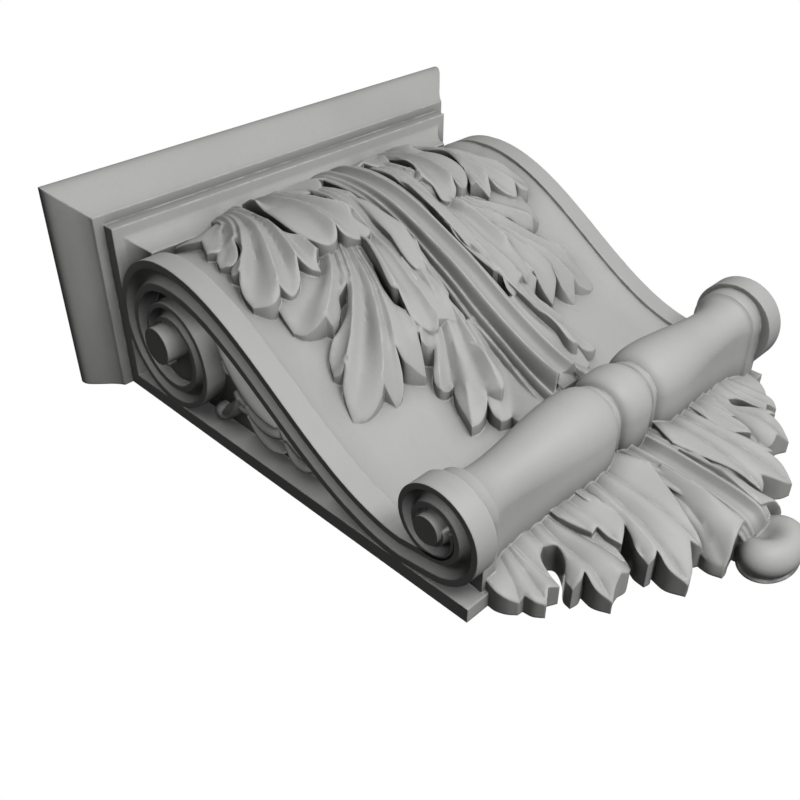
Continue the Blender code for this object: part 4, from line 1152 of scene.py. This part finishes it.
def primed_wood():
    # Grey primer on carved wood: clouds, speckle and faint grain, painted shade
    # in the hollows and paler, smoother arrises
    shading = Shading("primed_wood_fine")
    clouds = shading.noise(*CLOUDS)
    speckle = shading.noise(*SPECKLE)
    grain = shading.noise(*GRAIN)
    worn, soft_normal = edge_wear(shading)
    # Painted shade: ambient occlusion darkens the colour in hollows and creases
    hollow = shading.add("ShaderNodeAmbientOcclusion", samples=SHADE_SAMPLES)
    hollow.inputs["Distance"].default_value = SHADE_REACH
    unshaded_share = shading.span(hollow.outputs["AO"], *PAINTED_SHADE_SHOWS)
    colour = shading.mix(clouds, PRIMER_DARK, PRIMER_LIGHT)
    colour = shading.mix(shading.span(speckle, *SPECKLE_SHOWS), colour, PRIMER_DARK)
    colour = shading.mix(shading.span(grain, *GRAIN_SHOWS), colour, PRIMER_DARK)
    # The painted shade goes into the colour where the hollows close in
    colour = shading.mix(unshaded_share, PAINTED_SHADE_TONE, colour)
    colour = shading.mix(shading.span(worn, *WORN_SHOWS), colour, PRIMER_WORN)
    shading.join(colour, shading.shader.inputs["Base Color"])
    rough = shading.span(clouds, *ROUGH_SHOWS)
    smooth = shading.span(worn, *SMOOTH_SHOWS)
    shading.join(shading.math("SUBTRACT", rough, smooth), shading.shader.inputs["Roughness"])
    shading.shader.inputs["Specular IOR Level"].default_value = SHINE
    normal = shading.bump(grain, *GRAIN_BUMP, soft_normal)
    normal = shading.bump(speckle, *SPECKLE_BUMP, normal)
    shading.join(normal, shading.shader.inputs["Normal"])
    return shading.material


def pale_floor():
    # Pale to look at, but it throws little light up at the carving
    shading = Shading("pale_floor")
    shading.shader.inputs["Base Color"].default_value = FLOOR_SHADE
    shading.shader.inputs["Roughness"].default_value = FLOOR_ROUGH
    glow = shading.add("ShaderNodeEmission")
    glow.inputs["Color"].default_value = FLOOR_TONE
    glow.inputs["Strength"].default_value = FLOOR_GLOW
    seen = shading.add("ShaderNodeLightPath").outputs["Is Camera Ray"]
    mix = shading.add("ShaderNodeMixShader")
    shading.join(shading.span(seen, 0, 1, 0, FLOOR_SHARE), mix.inputs[0])
    shading.join(shading.shader.outputs[0], mix.inputs[1])
    shading.join(glow.outputs[0], mix.inputs[2])
    shading.join(mix.outputs[0], shading.tree.nodes["Material Output"].inputs["Surface"])
    return shading.material


def floor():
    mesh = bpy.data.meshes.new("floor")
    half = FLOOR_SIZE / 2
    corners = [(-half, -half), (half, -half), (half, half), (-half, half)]
    mesh.from_pydata([(x, y, FLOOR_HEIGHT) for x, y in corners], [], [(0, 1, 2, 3)])
    obj = bpy.data.objects.new("floor", mesh)
    bpy.context.scene.collection.objects.link(obj)
    mesh.materials.append(pale_floor())


def camera():
    forward = Vector(CAMERA_FORWARD).normalized()
    right = Vector(CAMERA_RIGHT).normalized()
    up = right.cross(forward)
    data = bpy.data.cameras.new("camera")
    data.lens = CAMERA_LENS
    data.sensor_width = SENSOR_WIDTH
    data.clip_start = CLIP_START
    obj = bpy.data.objects.new("camera", data)
    turn = Matrix((right, up, -forward)).transposed().to_4x4()
    obj.matrix_world = Matrix.Translation(CAMERA_PLACE) @ turn
    bpy.context.scene.collection.objects.link(obj)
    bpy.context.scene.camera = obj


def soft_light(name, direction, size, power, shadows=True):
    way = Vector(direction).normalized()
    data = bpy.data.lights.new(name, "AREA")
    data.shape = "DISK"
    data.size = size
    data.energy = power
    data.use_shadow = shadows
    obj = bpy.data.objects.new(name, data)
    obj.location = way * LIGHT_DISTANCE
    obj.rotation_mode = "QUATERNION"
    obj.rotation_quaternion = way.to_track_quat("Z", "Y")
    bpy.context.scene.collection.objects.link(obj)


def world():
    # White to look at, but only a little light on the carving
    data = bpy.data.worlds.new("world")
    data.use_nodes = True
    nodes = data.node_tree.nodes
    links = data.node_tree.links
    soft = nodes["Background"]
    soft.inputs["Color"].default_value = WHITE
    soft.inputs["Strength"].default_value = WORLD_LIGHT
    seen = nodes.new("ShaderNodeBackground")
    seen.inputs["Color"].default_value = WHITE
    seen.inputs["Strength"].default_value = WORLD_SEEN
    path = nodes.new("ShaderNodeLightPath")
    mix = nodes.new("ShaderNodeMixShader")
    links.new(path.outputs["Is Camera Ray"], mix.inputs[0])
    links.new(soft.outputs[0], mix.inputs[1])
    links.new(seen.outputs[0], mix.inputs[2])
    links.new(mix.outputs[0], nodes["World Output"].inputs["Surface"])
    bpy.context.scene.world = data


def plain_colours():
    bpy.context.scene.view_settings.view_transform = "Standard"


def main():
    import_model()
    plain_colours()
    camera()
    soft_light("key", KEY_WAY, KEY_SIZE, KEY_POWER)
    soft_light("fill", KEY_WAY, KEY_SIZE, FILL_POWER, shadows=False)
    soft_light("back", BACK_WAY, BACK_SIZE, BACK_POWER)
    world()
    floor()
    carving = joined("carving", all_solids())
    carving.data.materials.clear()
    carving.data.materials.append(primed_wood())
    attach(carving, "root")
    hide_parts("carved_bracket")


main()
